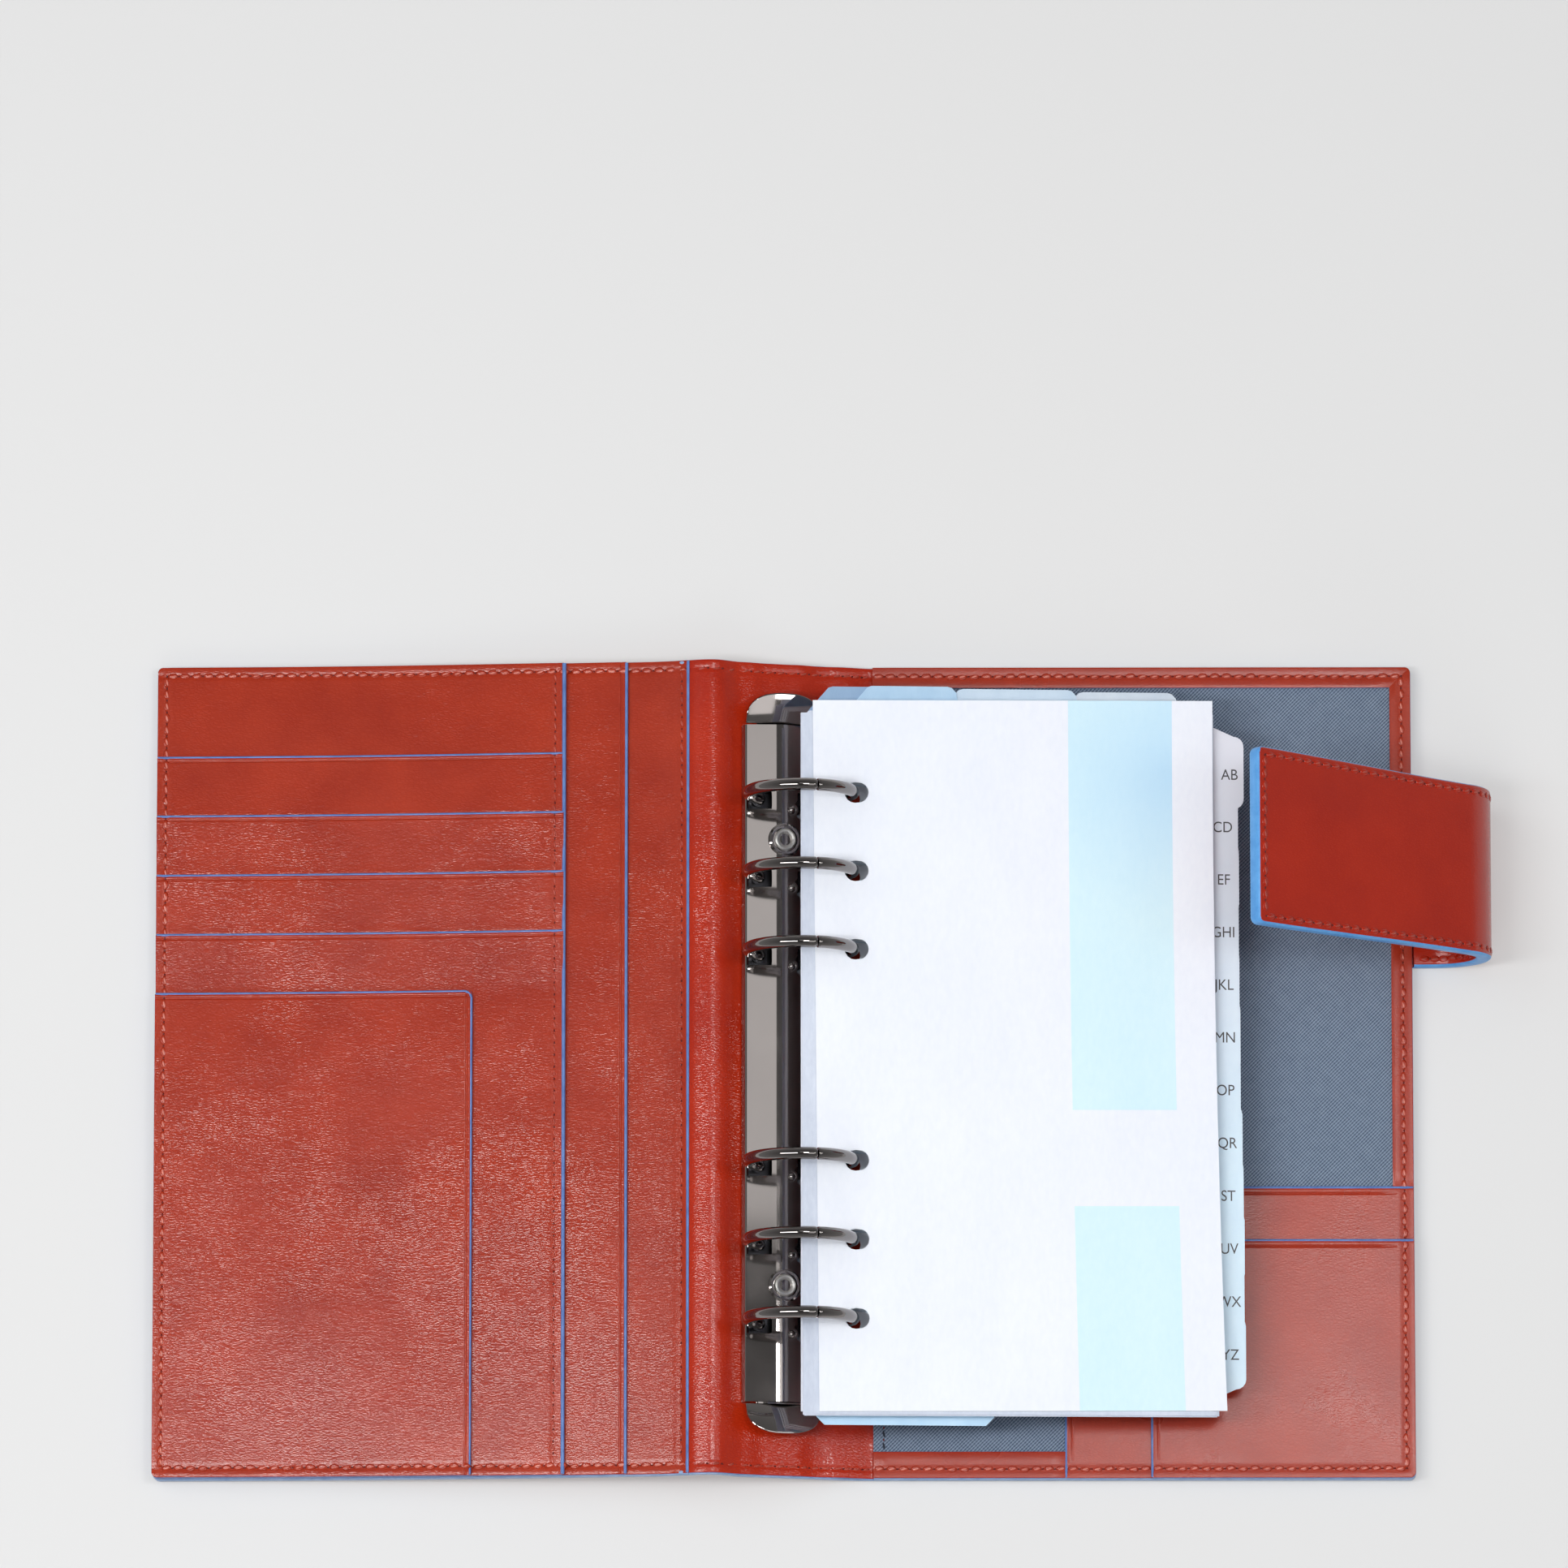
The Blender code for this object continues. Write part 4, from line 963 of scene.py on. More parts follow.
def edge_band(x_hinge, x_outer, low, high):
    """Painted edge round the three free sides of a cover, drawn in the cover's frame."""
    bm = bmesh.new()
    sign = 1 if x_outer > x_hinge else -1
    inset = BAND_WIDTH / 2 - BAND_PROUD
    radius = CORNER_RADIUS - inset
    top, bottom = COVER_HALF - inset, COVER_LOW - BOTTOM_PAINT + BAND_WIDTH / 2
    middle = (low + high) / 2
    place = Matrix.Translation((x_hinge, top, middle)) @ FACING_X
    ring = rounded_ring(bm, BAND_WIDTH, high - low, 0.5, place)
    spin = -sign * math.pi / 2
    corner = x_outer - sign * inset - sign * radius
    return sweep(bm, ring, [((corner - x_hinge, 0, 0), 32),
                            ((corner, top - radius, middle), (0, 0, 1), spin, 6),
                            ((0, bottom - top + 2 * radius, 0), 40),
                            ((corner, bottom + radius, middle), (0, 0, 1), spin, 6),
                            ((x_hinge - corner, 0, 0), 32)])


def build_edge_bands():
    # The edge bands take the lightened edge paint, which is painted light.
    bm = edge_band(BASE_EDGE + 0.2, FRONT_EDGE, -HINGE_HEIGHT + 0.05, front_level(BASE_PANEL[1]) - 0.1)
    relieve(bm, front_relief)
    add_fit("front_edge_paint", bm, FRONT, (BAND_PAINT_LIGHTENED,), "front_cover", "leather")
    bm = edge_band(LINING_LEFT + 0.2, BACK_EDGE, 0.05, BORDER[0] + 0.3)
    add_fit("back_edge_paint", bm, BACK, (BAND_PAINT_LIGHTENED,), "back_cover", "leather")


# Back cover

back_leathers = []


def back_strip(name, x0, x1, y0, y1, layer, rows, mitres=(), creases=(), rounded=()):
    """Leather of the border, or a pocket if it has creases."""
    low, high = layer
    bm = open_sheet(x0, x1, y0, y1, high, rounded=rounded)
    for point, normal in mitres:
        cut(bm, point, normal, clear=True)
    press(bm, rows, BACK_GROOVE)
    press(bm, creases, POCKET_CREASE)
    thicken(bm, low, easing=0.22)
    paint_sides(bm)
    for face in bm.faces:
        if face.normal.x < -0.6 and not creases:
            face.material_index = 0
    for vert in bm.verts:
        if vert.co.z > (low + high) / 2:
            vert.co.z += 0.6 * ripple(vert.co.x, vert.co.y)
    back_leathers.append(add_fit(name, bm, BACK, (BACK_RED, PAINT), "back_cover", "leather", name))


def build_back():
    bm = open_sheet(LINING_LEFT, LINING_RIGHT, COVER_LOW + LINING_INSET, COVER_HALF - LINING_INSET,
                    LINING[1])
    press(bm, ((0, LINING_HEM),), HEM_GROOVE)
    thicken(bm, LINING[0], easing=0.15)
    for vert in bm.verts:
        if vert.co.z > LINING[0] + 0.1:
            vert.co.z += HEM_RISE * smoothstep(LINING_HEM + 0.5, LINING_HEM - 0.4, vert.co.x)
    lining = add_fit("back_lining", bm, BACK, (LINING_CLOTH,), "back_cover", "twill", "back_lining")

    top, right, width = COVER_HALF, BACK_EDGE, BORDER_WIDTH
    corner = Vector((right, top, 0))
    row = right - STITCH_INSET
    pocket_left, pocket_top = right - LARGE_POCKET[0], LARGE_POCKET[1] - top
    back_strip("back_border_top", LINING_LEFT, right, top - width, top, BORDER,
               ((1, STITCH_HIGH, -FAR, row),), ((corner, (1, -1, 0)),), rounded=((1, 1),))
    back_strip("back_border_right", right - width, right, pocket_top + BORDER_GAP, top, BORDER,
               ((0, row, -FAR, STITCH_HIGH),), ((corner - Vector((BORDER_GAP, 0, 0)), (-1, 1, 0)),),
               rounded=((1, 1),))
    back_strip("back_border_bottom", LINING_LEFT, pocket_left - BORDER_GAP, COVER_LOW, width - top, BORDER,
               ((1, STITCH_LOW),))
    for name, size, layer in (("back_large_pocket", LARGE_POCKET, BORDER),
                              ("back_small_pocket", SMALL_POCKET, SMALL_POCKET_LEVEL)):
        left, edge = right - size[0], size[1] - top
        back_strip(name, left, right, COVER_LOW, edge, layer,
                   ((1, STITCH_LOW, -FAR, row), (0, row, STITCH_LOW, FAR)),
                   creases=((1, edge - POCKET_FOLD, left, right - width),
                            (0, left + POCKET_FOLD, width - top, edge)), rounded=((1, -1),))
        height = layer[1] - 0.22
        moves = [((0, edge - POCKET_CORNER - COVER_LOW - BEAD_INSET, 0), 16),
                 ((left + POCKET_CORNER, edge - POCKET_CORNER, height), (0, 0, 1), -math.pi / 2, 6),
                 ((right - BEAD_INSET - left - POCKET_CORNER, 0, 0), 20)]
        bm = rod((left, COVER_LOW + BEAD_INSET, height), (0, 1, 0), moves)
        add_fit(name + "_edge", bm, BACK, (PAINT,), "back_cover", "leather")


# Strap

def strap_axes(angle):
    """Heading along the strap and the normal of its outer face, where it has turned by an angle."""
    return Vector((math.cos(angle), 0, math.sin(angle))), Vector((math.sin(angle), 0, -math.cos(angle)))


def strap_center(y):
    return Vector((BACK_EDGE + STRAP_RUN, y, STRAP_LIFT + STRAP_THICKNESS + STRAP_RADIUS))


def strap_seat(run, y, outer):
    """Point, heading and normal on a strap face, at a distance along it from the cover's edge."""
    past = run - STRAP_RUN
    turned_by = min(max(past, 0.0), STRAP_ARC)
    heading, outward = strap_axes(turned_by / STRAP_ARC * STRAP_TURN)
    radius = STRAP_RADIUS + (STRAP_THICKNESS if outer else 0.0)
    point = strap_center(y) + outward * radius + heading * (past - turned_by)
    return point, heading, outward if outer else -outward


def strap_flare(run):
    return STRAP_FLARE * smoothstep(0, STRAP_TIP, run)


def strap_skew(run):
    return STRAP_SKEW * max(run, 0.0) / STRAP_TIP


def rounding(left, radius):
    """How far a rounded corner has drawn in, at a distance left before the end."""
    left = min(max(left, 0.0), radius)
    return radius - math.sqrt(radius ** 2 - (radius - left) ** 2)


def bend_strap(item, slot, *nodes):
    fold = STRAP_RUN + STRAP_ARC / 2
    start, end = (BACK @ strap_seat(fold + reach, 0, True)[0] for reach in (-STRAP_BEND, STRAP_BEND))
    fit(item, ("back_cover", "strap_end", start, end), slot, *nodes)


def build_strap():
    bm = bmesh.new()
    width = STRAP_HIGH - STRAP_LOW
    tongue_level = (BOARD[0] + BOARD[1]) / 2
    thin = (BOARD[1] - BOARD[0]) / STRAP_THICKNESS
    place = Matrix.Translation((BACK_EDGE - STRAP_TONGUE, STRAP_MIDDLE, tongue_level)) @ FACING_X
    ring = rounded_ring(bm, width, STRAP_THICKNESS, 0.9, place)
    for vert in bm.verts:
        vert.co.z = tongue_level + (vert.co.z - tongue_level) * thin
    ring = grow(bm, ring, Vector((STRAP_TONGUE + 0.2, 0, 0)))
    ring = grow(bm, ring, Vector((0.3, 0, 0)))
    full = STRAP_LIFT + STRAP_THICKNESS / 2
    for vert in {vert for edge in ring for vert in edge.verts}:
        vert.co.z = full + (vert.co.z - tongue_level) / thin
    center = strap_center(STRAP_MIDDLE)
    heading, outward = strap_axes(STRAP_TURN)
    sweep(bm, ring, [((STRAP_RUN - 0.5, 0, 0), 2), (center, (0, -1, 0), STRAP_TURN, 32),
                     (heading * (STRAP_TIP - STRAP_CORNER), 24), (heading * STRAP_CORNER, 12)])
    core = STRAP_RADIUS + STRAP_THICKNESS / 2
    for vert in bm.verts:
        run = (vert.co - center).dot(heading)
        if run > 0.01 and vert.co.z > 10:
            left = STRAP_TIP - run
            side = (vert.co.y - STRAP_MIDDLE) / (width / 2)
            depth = ((vert.co - center).dot(outward) - core) / (STRAP_THICKNESS / 2)
            vert.co.y += side * (strap_flare(run) - rounding(left, STRAP_CORNER)) + strap_skew(run)
            vert.co -= outward * depth * rounding(left, STRAP_EASE)
    recalculate(bm)
    for face in bm.faces:
        run = (face.calc_center_median() - center).dot(heading)
        tip = run > STRAP_TIP - 1.5 and face.normal.dot(heading) > 0.35
        if tip or face.normal.y < -0.35 or face.normal.y > 0.65:
            face.material_index = 1
    bend_strap(add_piece("strap_leather", bm, BACK, (STRAP_RED_BRIGHTENED, STRAP_PAINT)), "leather", "strap_base",
               "strap_face", "strap_lining", "strap_magnet")

    seats = []
    total = STRAP_RUN + STRAP_ARC + STRAP_TIP
    first = 1.5
    for outer in (True, False):
        for y in (STRAP_LOW + STRAP_INSET, STRAP_HIGH - STRAP_INSET):
            for index in range(round((total - STRAP_INSET - first) / STITCH_PITCH)):
                run = first + (index + 0.5) * STITCH_PITCH
                past = run - total + STRAP_TIP
                moved = y + math.copysign(strap_flare(past), y - STRAP_MIDDLE) + strap_skew(past)
                seats.append(strap_seat(run, moved, outer))
        point, heading, up = strap_seat(total - STRAP_INSET, STRAP_MIDDLE, outer)
        for index in range(round((width - 2 * STRAP_INSET) / STITCH_PITCH)):
            y = STRAP_LOW + STRAP_INSET + (index + 0.5) * STITCH_PITCH + STRAP_SKEW
            seats.append((Vector((point.x, y, point.z)), Vector((0, 1, 0)), up))
    seats = [(BACK @ point, heading, up) for point, heading, up in seats]
    bend_strap(stitches("strap_stitching", seats, pillow=STRAP_RED_BRIGHTENED), "leather")


# Stitching

def stitch_pattern(pillow):
    """One stitch along X: a slanted thread, a dark disc at its end as painted shade for the needle hole, and
    the leather puckered under it.
    """
    bm = bmesh.new()
    thread = Matrix.Rotation(STITCH_SLANT, 4, "Z") @ Matrix.Diagonal((*STITCH_SIZE, 1))
    hole = Matrix.Translation((STITCH_PITCH / 2, 0, 0)) @ Matrix.Diagonal((*NEEDLE_HOLE, 1))
    parts = [(thread, 8, 5), (hole, 6, 3)]
    if pillow:
        parts.append((Matrix.Diagonal((*PUCKER, 1)), 10, 5))
    for index, (place, around, along) in enumerate(parts):
        made = bmesh.ops.create_uvsphere(bm, u_segments=around, v_segments=along, radius=0.5, matrix=place)
        for face in {face for vert in made["verts"] for face in vert.link_faces}:
            face.material_index = index
    mesh = bpy.data.meshes.new("stitch")
    bm.to_mesh(mesh)
    bm.free()
    return mesh


def stitches(name, seats, thread=THREAD, pillow=None):
    """The stitch pattern laid on every seat (point, along, up)."""
    pattern = stitch_pattern(pillow is not None)
    bm = bmesh.new()
    for point, along, up in seats:
        along = (along - up * along.dot(up)).normalized()
        turn = Matrix((along, up.cross(along), up)).transposed().to_4x4()
        scratch = pattern.copy()
        scratch.transform(Matrix.Translation(point) @ turn @ Matrix.Scale(MM, 4))
        bm.from_mesh(scratch)
        bpy.data.meshes.remove(scratch)
    bpy.data.meshes.remove(pattern)
    return add_piece(name, bm, None, (thread, HOLE_SHADE) + ((pillow,) if pillow else ()), smooth=180)


def lies_on(items):
    """Search tree over the faces of some finished pieces, in metres."""
    points, faces = [], []
    for item in items:
        offset = len(points)
        points += [vert.co.copy() for vert in item.data.vertices]
        faces += [[offset + index for index in face.vertices] for face in item.data.polygons]
    return BVHTree.FromPolygons(points, faces)


def row_seats(tree, place, start, end):
    """Seats along a straight row, dropped on to whatever lies on top there."""
    start, end = Vector(start), Vector(end)
    count = round((end - start).length / STITCH_PITCH)
    down = -place.col[2].xyz.normalized()
    along = (place.to_3x3() @ Vector((*(end - start), 0))).normalized()
    seats = []
    for index in range(count):
        spot = start.lerp(end, (index + 0.5) / count)
        point, up, _, _ = tree.ray_cast(place @ Vector((spot.x, spot.y, 12.0)), down, 0.05)
        if point:
            seats.append((point, along, up))
    return seats


def folded_seats(tree, side, start, end, y):
    """Seats along a row that runs over a fold."""
    lay = LAYS[side]
    count = max(1, round((end - start) / STITCH_PITCH))
    seats = []
    for index in range(count):
        u = start + (end - start) * (index + 0.5) / count
        high, ahead = lay(u, y, 6.0), lay(u + 0.5, y, 6.0)
        point, up, _, _ = tree.ray_cast(high, Vector((0, 0, -1)), 0.05)
        if point:
            seats.append((point, (ahead - high).normalized(), up))
    return seats


def sew():
    ends = (STITCH_LOW, STITCH_HIGH)

    def upright(tree, place, x, low=STITCH_LOW, high=STITCH_HIGH):
        return row_seats(tree, place, (x, low), (x, high))

    tree = lies_on(front_leathers)
    left = FRONT_EDGE + STITCH_INSET
    seats = upright(tree, FRONT, left)
    for y in ends:
        seats += row_seats(tree, FRONT, (left, y), (BASE_EDGE, y))
    # The front edge rows take the lightened thread, a painted highlight.
    fit(stitches("front_edge_stitching", seats, THREAD_HIGHLIGHTED, RED), "front_cover", "leather")
    seats = upright(tree, FRONT, CARD_ROW) + upright(tree, FRONT, BASE_ROW)
    fit(stitches("front_panel_stitching", seats), "front_cover", "leather")

    tree = lies_on(spine_leathers)
    for side, start, end in (("left", ROW_SPAN[0], SEAMS["left"]), ("right", SEAMS["right"], ROW_SPAN[1])):
        seats = []
        for y in ends:
            seats += folded_seats(tree, side, start, end, y)
        fit(stitches("spine_stitching_" + side, seats), FOLDS[side], "spine_leather")

    tree = lies_on(back_leathers)
    right = BACK_EDGE - STITCH_INSET
    seats = []
    for y in ends:
        seats += row_seats(tree, BACK, (LINING_LEFT, y), (right, y))
    seats += upright(tree, BACK, right)
    # The back edge rows take the lightened thread, a painted highlight.
    fit(stitches("back_edge_stitching", seats, THREAD_HIGHLIGHTED, BACK_RED), "back_cover", "leather")
    tree = lies_on([bpy.data.objects["back_lining"]])
    seats = upright(tree, BACK, LINING_HEM, BORDER_WIDTH - COVER_HALF, COVER_HALF - BORDER_WIDTH)
    fit(stitches("lining_hem_stitching", seats, DARK_THREAD), "back_cover", "twill")


# Ring mechanism

def housing_height(x):
    """Section of the housing: a rounded crest, straight flanks and eased shoulders."""
    off = abs(x)
    height = HOUSING_HEIGHT - HOUSING_SLOPE * off ** 2 / (2 * HOUSING_CREST)
    if off > HOUSING_CREST:
        height = HOUSING_HEIGHT - HOUSING_SLOPE * (off - HOUSING_CREST / 2)
    past = off - HOUSING_HALF + HOUSING_EASE
    return height - HOUSING_EASE + math.sqrt(HOUSING_EASE ** 2 - past ** 2) if past > 0 else height


def build_housing():
    bm = bmesh.new()
    across = [HOUSING_HALF * step / HOUSING_STEPS for step in range(-HOUSING_STEPS, HOUSING_STEPS + 1)]
    section = [(x, housing_height(x)) for x in across]
    section = [(-HOUSING_HALF, HOUSING_FOOT), *section, (HOUSING_HALF, HOUSING_FOOT)]
    chain(bm, [(x, -HOUSING_LENGTH / 2, z) for x, z in section], closed=False)
    grow(bm, bm.edges[:], Vector((0, HOUSING_LENGTH, 0)))
    cut_across(bm, 0, [side * at for side in (-1, 1) for at in SLOT_SPAN])
    cut_across(bm, 1, [place + side * SLOT_HALF for place in RING_PLACES for side in (-1, 1)])
    slots = []
    for face in bm.faces:
        spot = face.calc_center_median()
        inside = min(abs(spot.y - place) for place in RING_PLACES) < SLOT_HALF
        if inside and SLOT_SPAN[0] < abs(spot.x) < SLOT_SPAN[1]:
            slots.append(face)
    bmesh.ops.delete(bm, geom=slots, context="FACES")
    corners = [vert for vert in bm.verts if vert.is_boundary and len(vert.link_faces) == 3]
    ease(bm, corners, SLOT_EASE, 5, "VERTICES")
    plate(bm, HOUSING_WALL)
    add_fit("ring_housing", bm, SEAT, (GUNMETAL,), "spine", "gunmetal", "ring_housing")

    rivets = (("rivet_top", (0, RIVET_PLACE)), ("rivet_bottom", (0, -RIVET_PLACE)))
    bosses = [turned(COLLAR, place, 48) for _, place in rivets]
    bosses += [turned(BOSS, (BOSS_PLACE[0], place + BOSS_PLACE[1]), 24) for place in RING_PLACES]
    add_fit("housing_bosses", join(bosses), SEAT, (GUNMETAL,), "spine", "gunmetal")
    for name, place in rivets:
        add_fit(name, turned(RIVET, place, 40), SEAT, (STEEL,), "spine", "steel", name)


def build_rings():
    """Each half ring runs from the meeting face at the top, round, and down its shank to the blade."""
    for side, name in ((-1, "left"), (1, "right")):
        heading = Vector((side * math.sin(RING_FOOT), 0, math.cos(RING_FOOT)))
        inward = Vector((-side * math.cos(RING_FOOT), 0, math.sin(RING_FOOT)))
        for number, place in enumerate(RING_PLACES, 1):
            center = Vector((0, place, RING_HEIGHT))
            start = center + Vector((side * math.sin(RING_SPLIT), 0, math.cos(RING_SPLIT))) * RING_RADIUS
            heel = center + inward * (RING_RADIUS + RING_HEEL) + heading * RING_SHANK
            bm = rod(start, (1, 0, 0), [(center, (0, side, 0), RING_FOOT - math.pi / 2 - RING_SPLIT, 36),
                                        (heading * RING_SHANK, 2),
                                        (heel, (0, -side, 0), RING_FOOT - math.pi, 8)], WIRE_RADIUS, 20)
            ease(bm, sharp_edges(bm), 0.3)
            node = "ring_%s_%d" % (name, number)
            add_fit(node, bm, SEAT, (RING_METAL,), name + "_rings", "gunmetal", node)


def build_levers():
    """Thumb levers: dished plates that rise past the ends of the housing, on a neck and a barrel."""
    begin, reach = LEVER_SPAN
    for side, name in ((1, "top"), (-1, "bottom")):
        bm = bmesh.new()
        bmesh.ops.create_grid(bm, x_segments=48, y_segments=20, size=0.5)
        for vert in bm.verts:
            across, along = 2 * vert.co.x, vert.co.y + 0.5
            arc = (1 - (0.985 * abs(across)) ** 2.5) ** 0.4
            y = begin + (reach - begin) * (0.12 + 0.88 * arc) * along
            share = (y - begin) / (reach - begin)
            height = 1.0 + LEVER_RISE * share * (1 - 0.37 * share) + LEVER_CROWN * (1 - across ** 2)
            vert.co = (LEVER_HALF * across, side * y, height)
        plate(bm, LEVER_WALL)
        recalculate(bm)
        ease(bm, sharp_edges(bm), 0.22)
        neck = open_sheet(-6.5, 6.5, *sorted(side * at for at in LEVER_NECK), 0.9, step=2.0)
        thicken(neck, -0.3, easing=0.2)
        barrel = rod((-BARREL_HALF, 0, 0), (1, 0, 0), [((2 * BARREL_HALF, 0, 0), 4)], BARREL_RADIUS, 24)
        place = SEAT @ Matrix.Translation((0, side * LEVER_PLACE, LEVER_PIVOT))
        add_fit("lever_" + name, join([bm, neck, barrel]), place, (GUNMETAL,), name + "_lever", "gunmetal",
                "lever_" + name)


# Refill

def punched(outline, level, thickness, turn=0.0, slack=HOLE_PLAY, holes=Matrix()):
    """Sheet with six ring holes, turned a little about their middle; slack makes room for opening rings."""
    bm = bmesh.new()
    chain(bm, [(x, y, 0) for x, y in outline])
    center = math.sqrt(RING_RADIUS ** 2 - level ** 2) + 0.5
    for place in RING_PLACES:
        spot = holes @ Vector((center, place, 0))
        made = bmesh.ops.create_circle(bm, segments=16, radius=HOLE_RADIUS, matrix=Matrix.Translation(spot))
        for vert in made["verts"]:
            if vert.co.x > spot.x + 0.01:
                vert.co.x += slack
    bmesh.ops.triangle_fill(bm, edges=bm.edges[:], use_beauty=True, use_dissolve=False)
    grown = bmesh.ops.extrude_face_region(bm, geom=bm.faces[:])["geom"]
    bmesh.ops.translate(bm, verts=picked(grown, BMVert), vec=(0, 0, -thickness))
    transform(bm, Matrix.Translation((0, 0, level)) @ turn_about((center, 0, 0), turn, "Z"))
    recalculate(bm)
    return bm


def page_outline(left, right, bottom=-PAGE_HALF, top=PAGE_HALF):
    return [(left, bottom), (right, bottom), (right, top), (left, top)]


def rounded_tab(x, reach, low, high):
    """Outline points of a thumb tab on a right edge, from its lower root to its upper root."""
    points = [(x, low - INDEX_EASE)]
    for y, first in ((low + INDEX_EASE, -90), (high - INDEX_EASE, 0)):
        for step in range(5):
            angle = math.radians(first + 90 * step / 4)
            points.append((x + reach - INDEX_EASE + INDEX_EASE * math.cos(angle),
                           y + INDEX_EASE * math.sin(angle)))
    return points + [(x, high + INDEX_EASE)]


def build_title():
    left, right = TITLE_LEFT + 0.3, TITLE_LEFT + PAGE_WIDTH + 0.5
    swing = turn_about(((left + right) / 2, 0, 0), TITLE_TURN, "Z")
    outline = page_outline(left, right, top=PAGE_HALF + 0.9)
    bm = punched(outline, TITLE_LEVEL, 0.35, slack=TITLE_PLAY, holes=swing.inverted())
    band = [left + at for at in PRINT_BAND]
    cut_across(bm, 0, band)
    cut_across(bm, 1, reversed(PRINT_GAP))
    cut_across(bm, 1, [15.0 * step for step in range(-5, 6)])
    for face in bm.faces:
        spot = face.calc_center_median()
        printed = not PRINT_GAP[0] < spot.y < PRINT_GAP[1] and spot.y > 0.3 - PAGE_HALF
        if printed and band[0] < spot.x < band[1]:
            face.material_index = 1
    for vert in bm.verts:
        share = (PAGE_HALF - vert.co.y) / (2 * PAGE_HALF)
        vert.co.x += (3.32 * share - 2.07) * share * (vert.co.x - left) / (right - left)
    transform(bm, swing)
    add_fit("title_sheet", bm, PAGES, (PAPER, PRINT), "title_leaf", "paper", "title_sheet")


def build_notes(draw):
    sheets = []
    for index in range(NOTE_SHEETS):
        left = TITLE_LEFT - 0.4 - 0.33 * index + draw.uniform(-0.2, 0.2)
        right = TITLE_LEFT + PAGE_WIDTH + draw.uniform(-0.8, 0.4)
        drop = 0.8 + 0.05 * index + draw.uniform(-0.2, 0.3)
        outline = page_outline(left, right, -PAGE_HALF - drop, PAGE_HALF - 1.2 - drop)
        turn = math.radians(draw.uniform(0.1, 0.4))
        sheets.append(punched(outline, 0.3 - 0.14 * index, PAPER_THICKNESS, turn))
    # The note sheets take the greyed paper, which is painted shade.
    add_fit("note_sheets", join(sheets), PAGES, (PAPER_SHADED,), "pages", "paper", "note_sheets")


def build_index():
    left, right = TITLE_LEFT - 0.4, TITLE_LEFT - 0.4 + PAGE_WIDTH
    for index, (letters, reach) in enumerate(zip(INDEX_LETTERS, INDEX_REACH)):
        group = index // 3 + 1
        level = -1.2 - 0.15 * index - 0.04 * (group - 1)
        high = PAGE_HALF - 7.0 - INDEX_PITCH * index
        low = max(high - INDEX_TAB, -PAGE_HALF + 3.4)
        outline = [(left, -PAGE_HALF), (right, -PAGE_HALF), *rounded_tab(right, reach, low, high),
                   (right, LEAF_TOP), (left, LEAF_TOP)]
        bm = punched(outline, level, CARD_THICKNESS)
        paint_sides(bm)
        name = "index_leaf_%02d" % (index + 1)
        add_fit(name, bm, PAGES, (CARD, PAPER), "pages", "index_card", "index_dividers_%d" % group)
        add_letters(name + "_letters", letters, right + reach - (3.7 if index else 3.4), high - 10.5, level)


def add_letters(name, text, x, y, level):
    """Index letters, cut from flat text and laid just over the tab."""
    curve = bpy.data.curves.new(name, "FONT")
    curve.body = text
    curve.size = LETTER_SIZE
    curve.align_x = "CENTER"
    curve.extrude = 0.008
    scratch = link(name + "_curve", curve)
    bpy.context.view_layer.update()
    mesh = bpy.data.meshes.new_from_object(scratch.evaluated_get(bpy.context.evaluated_depsgraph_get()))
    bpy.data.objects.remove(scratch)
    bpy.data.curves.remove(curve)
    mesh.transform(PAGES @ Matrix.Translation((x, y, level + 0.012)) @ Matrix.Diagonal((0.9, 1, 1, 1)))
    mesh.materials.clear()
    mesh.materials.append(INK)
    fit(link(name, mesh), "pages", "index_card")


def build_dividers():
    left = TITLE_LEFT - 1.6
    right = left + PAGE_WIDTH
    for index, (start, end, top, place) in enumerate(DIVIDER_TABS):
        start, end, top = left + start, left + end, PAGE_HALF + top
        outline = page_outline(left, right, -PAGE_HALF, LEAF_TOP)[:3]
        outline += [(end + 1.6, LEAF_TOP), (end + 0.4, top - 1.4), (end - 0.6, top - 0.3), (end - 1.6, top),
                    (start + 5.6, top), (start + 4.6, top - 0.3), (start, PAGE_HALF - 1), (left, LEAF_TOP)]
        bm = punched(outline, -3.2 - 0.28 * place, FILM_THICKNESS)
        add_fit("section_divider_%d" % (index + 1), bm, PAGES, (FILM_TINTS[index],), "pages",
                "divider_film", "section_divider_%d" % (index % 2 + 1))
    low, high = -PAGE_HALF - 3.0, PAGE_HALF - 4
    near, far = left + 2.2, left + 44.8
    outline = [(near, low + 2.0), (near + 2.0, low), (far - 2.0, low), (far, low + 2.0), (far, high),
               (near, high)]
    bm = punched(outline, MARKER_LEVEL, FILM_THICKNESS)
    add_fit("page_marker", bm, PAGES, (MARKER,), "pages", "divider_film", "page_marker")


def build_diary(draw):
    sheets = []
    for index in range(DIARY_SHEETS):
        share = index / (DIARY_SHEETS - 1)
        level = DIARY_LEVEL - DIARY_DEPTH * share
        near = TITLE_LEFT - 2.6 + draw.uniform(-0.25, 0.5)
        outline = page_outline(near, near + PAGE_WIDTH - draw.uniform(0, 0.5),
                               -PAGE_HALF + draw.uniform(0.6, 1.4), PAGE_HALF - draw.uniform(1.8, 2.6))
        bm = punched(outline, level, PAPER_THICKNESS)
        transform(bm, turn_about((near, 0, level), math.atan(DIARY_SAG * share / PAGE_WIDTH), "Y"))
        sheets.append(bm)
    add_fit("diary_sheets", join(sheets), PAGES, (PAPER,), "pages", "paper", "diary_block")


# Hidden pieces that keep their solids

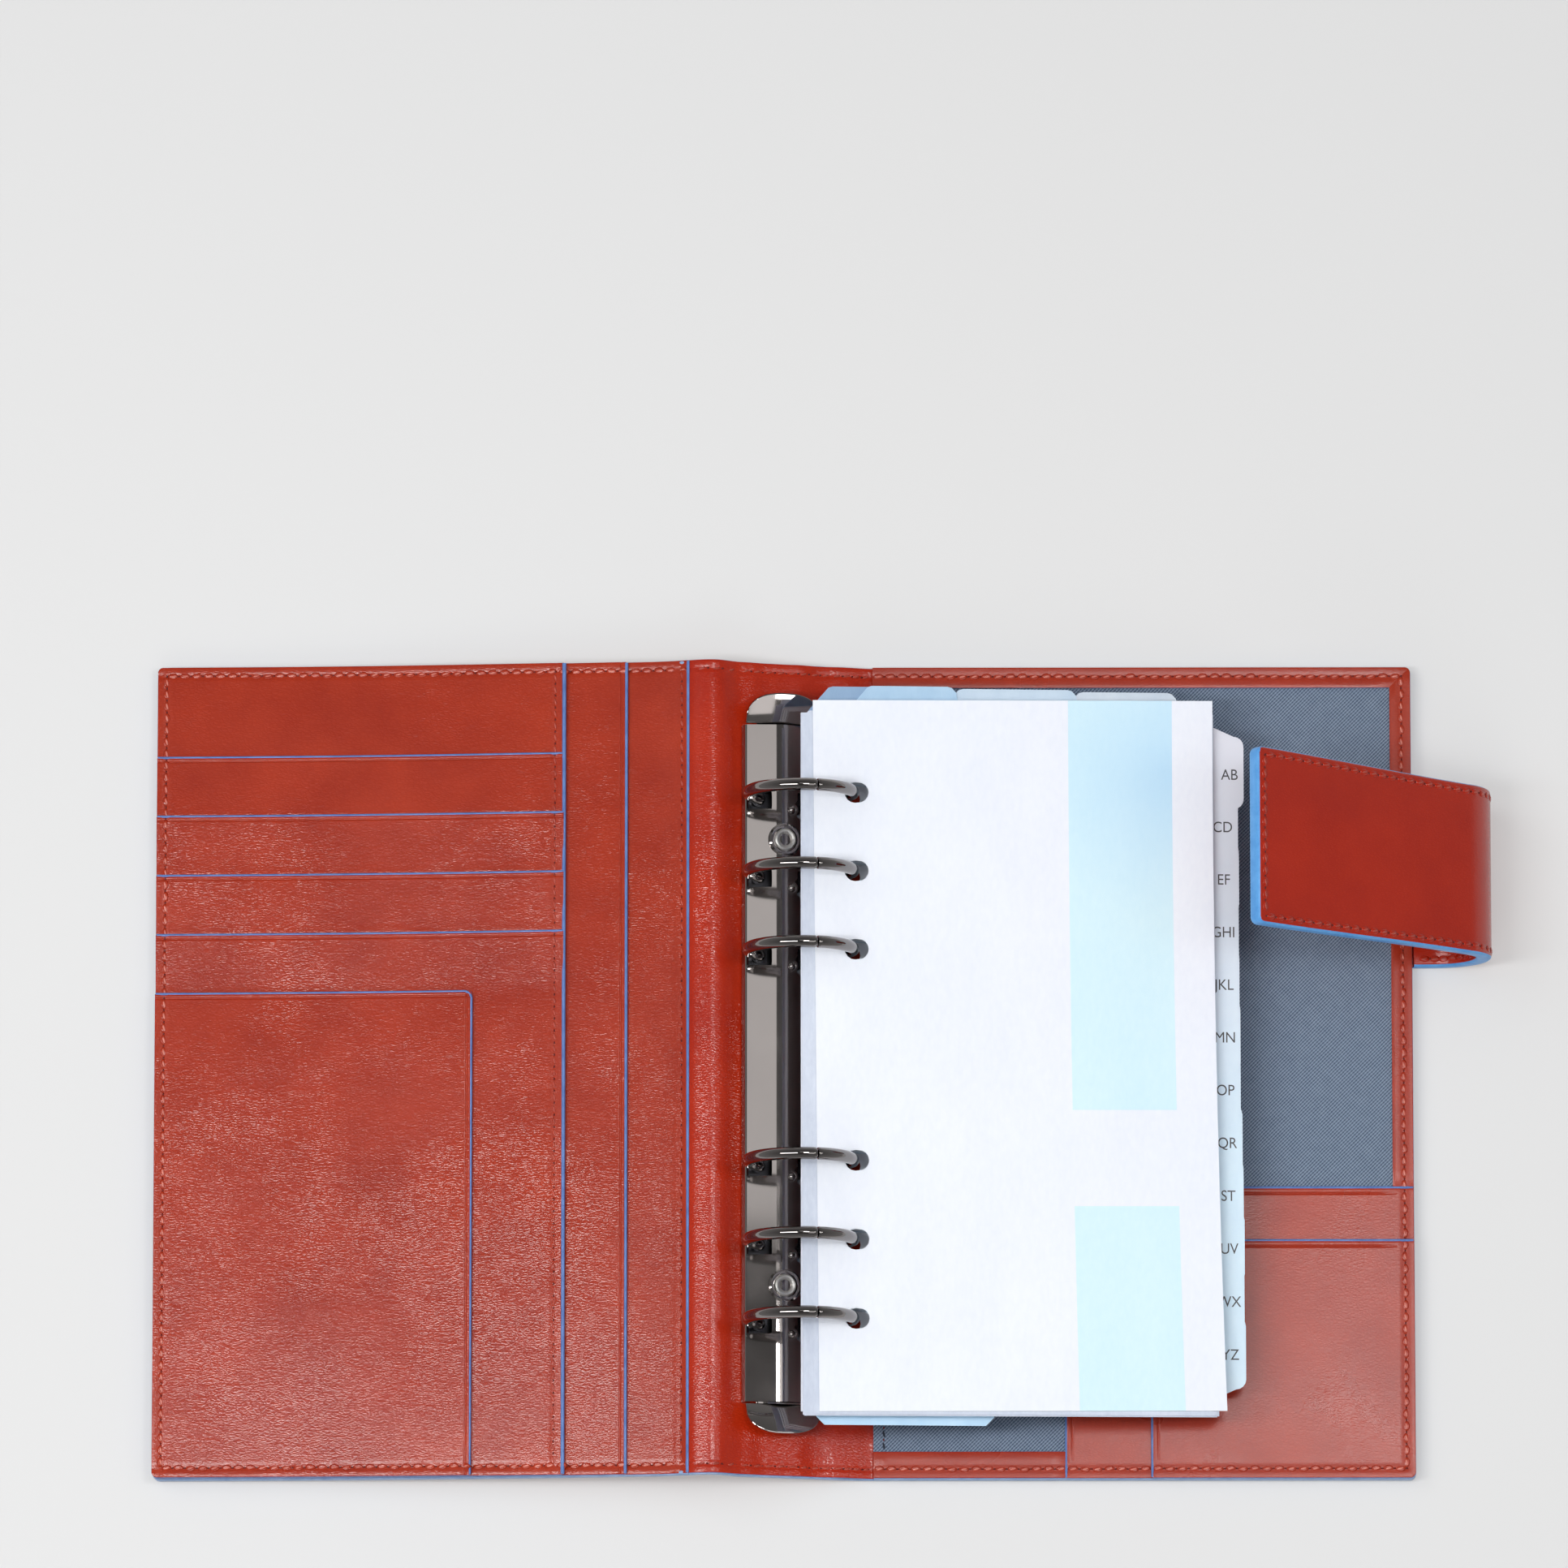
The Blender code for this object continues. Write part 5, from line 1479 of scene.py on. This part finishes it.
def dress_hidden():
    # The blades take the darkened steel, which is painted shade.
    for name, material in (("left_blade", BLADE_STEEL_SHADED), ("right_blade", BLADE_STEEL_SHADED), ("lever_pin_top", STEEL),
                           ("lever_pin_bottom", STEEL), ("back_board", GREYBOARD)):
        mesh = frame["nodes"][name].data
        mesh.materials.clear()
        mesh.materials.append(material)


# Studio

def build_floor():
    """Grey floor, with a glow of its own that the camera and the polished pieces see."""
    bm = bmesh.new()
    bmesh.ops.create_grid(bm, x_segments=1, y_segments=1, size=4.0)
    mesh = bpy.data.meshes.new("floor")
    bm.to_mesh(mesh)
    bm.free()
    floor = link("floor", mesh)
    floor.location.z = -0.0004
    material = bpy.data.materials.new("floor_grey")
    material.use_nodes = True
    tree = material.node_tree
    shader = tree.nodes["Principled BSDF"]
    feed(tree, shader.inputs, {"Base Color": srgb(FLOOR_GREY), "Roughness": 0.9, "Specular IOR Level": 0.0})
    glow = add_node(tree, "Emission", {"Color": srgb(FLOOR_GREY), "Strength": 1.0})[0]
    path = add_node(tree, "LightPath")
    seen = math_node(tree, "ADD", path["Is Camera Ray"], path["Is Glossy Ray"])
    share = math_node(tree, "MULTIPLY", seen, FLOOR_GLOW)
    mixed = add_node(tree, "MixShader", {0: share, 1: shader.outputs[0], 2: glow})[0]
    feed(tree, tree.nodes["Material Output"].inputs, {"Surface": mixed})
    mesh.materials.append(material)


def add_lamp(name, location, target, size, power):
    data = bpy.data.lights.new(name, "AREA")
    data.shape = "RECTANGLE"
    data.size, data.size_y = size
    data.energy = power
    lamp = link(name, data)
    lamp.location = location
    lamp.rotation_euler = (Vector(target) - Vector(location)).to_track_quat("-Z", "Y").to_euler()
    return lamp


def build_studio():
    """Dim tent, darker overhead, with strips and cards that the leather and the metal mirror.

    The softboxes light the part evenly and aren't mirrored.
    """
    build_floor()
    world = bpy.data.worlds.new("studio")
    bpy.context.scene.world = world
    world.use_nodes = True
    tree = world.node_tree
    up = add_node(tree, "SeparateXYZ", {"Vector": add_node(tree, "TexCoord")["Generated"]})["Z"]
    feed(tree, tree.nodes["Background"].inputs, {"Strength": remap(tree, up, 0.0, 1.0, 0.4, 0.09),
                                                 "Color": (1, 1, 1, 1)})
    for name, place, size, power in HANGING:
        add_lamp(name, (*place, 1.0), (*place, 0), size, power)
    for name, place, target, size, power in SOFTBOXES:
        add_lamp(name, place, target, (size, size), power).visible_glossy = False
    bpy.context.scene.view_settings.view_transform = "Standard"


def build_camera():
    data = bpy.data.cameras.new("camera")
    data.sensor_width = 36.0
    data.lens = 327.84
    data.clip_end = 20.0
    camera = link("camera", data)
    camera.location = (-0.0652, -0.5050, 3.4)
    camera.rotation_euler = (0.1675, 0.0057, -0.0001)
    bpy.context.scene.camera = camera


build_front()
build_spine()
build_edge_bands()
build_back()
build_strap()
sew()
build_housing()
build_rings()
build_levers()
build_title()
drawn = random.Random(7)
build_notes(drawn)
build_index()
build_dividers()
build_diary(drawn)
dress_hidden()
build_studio()
build_camera()
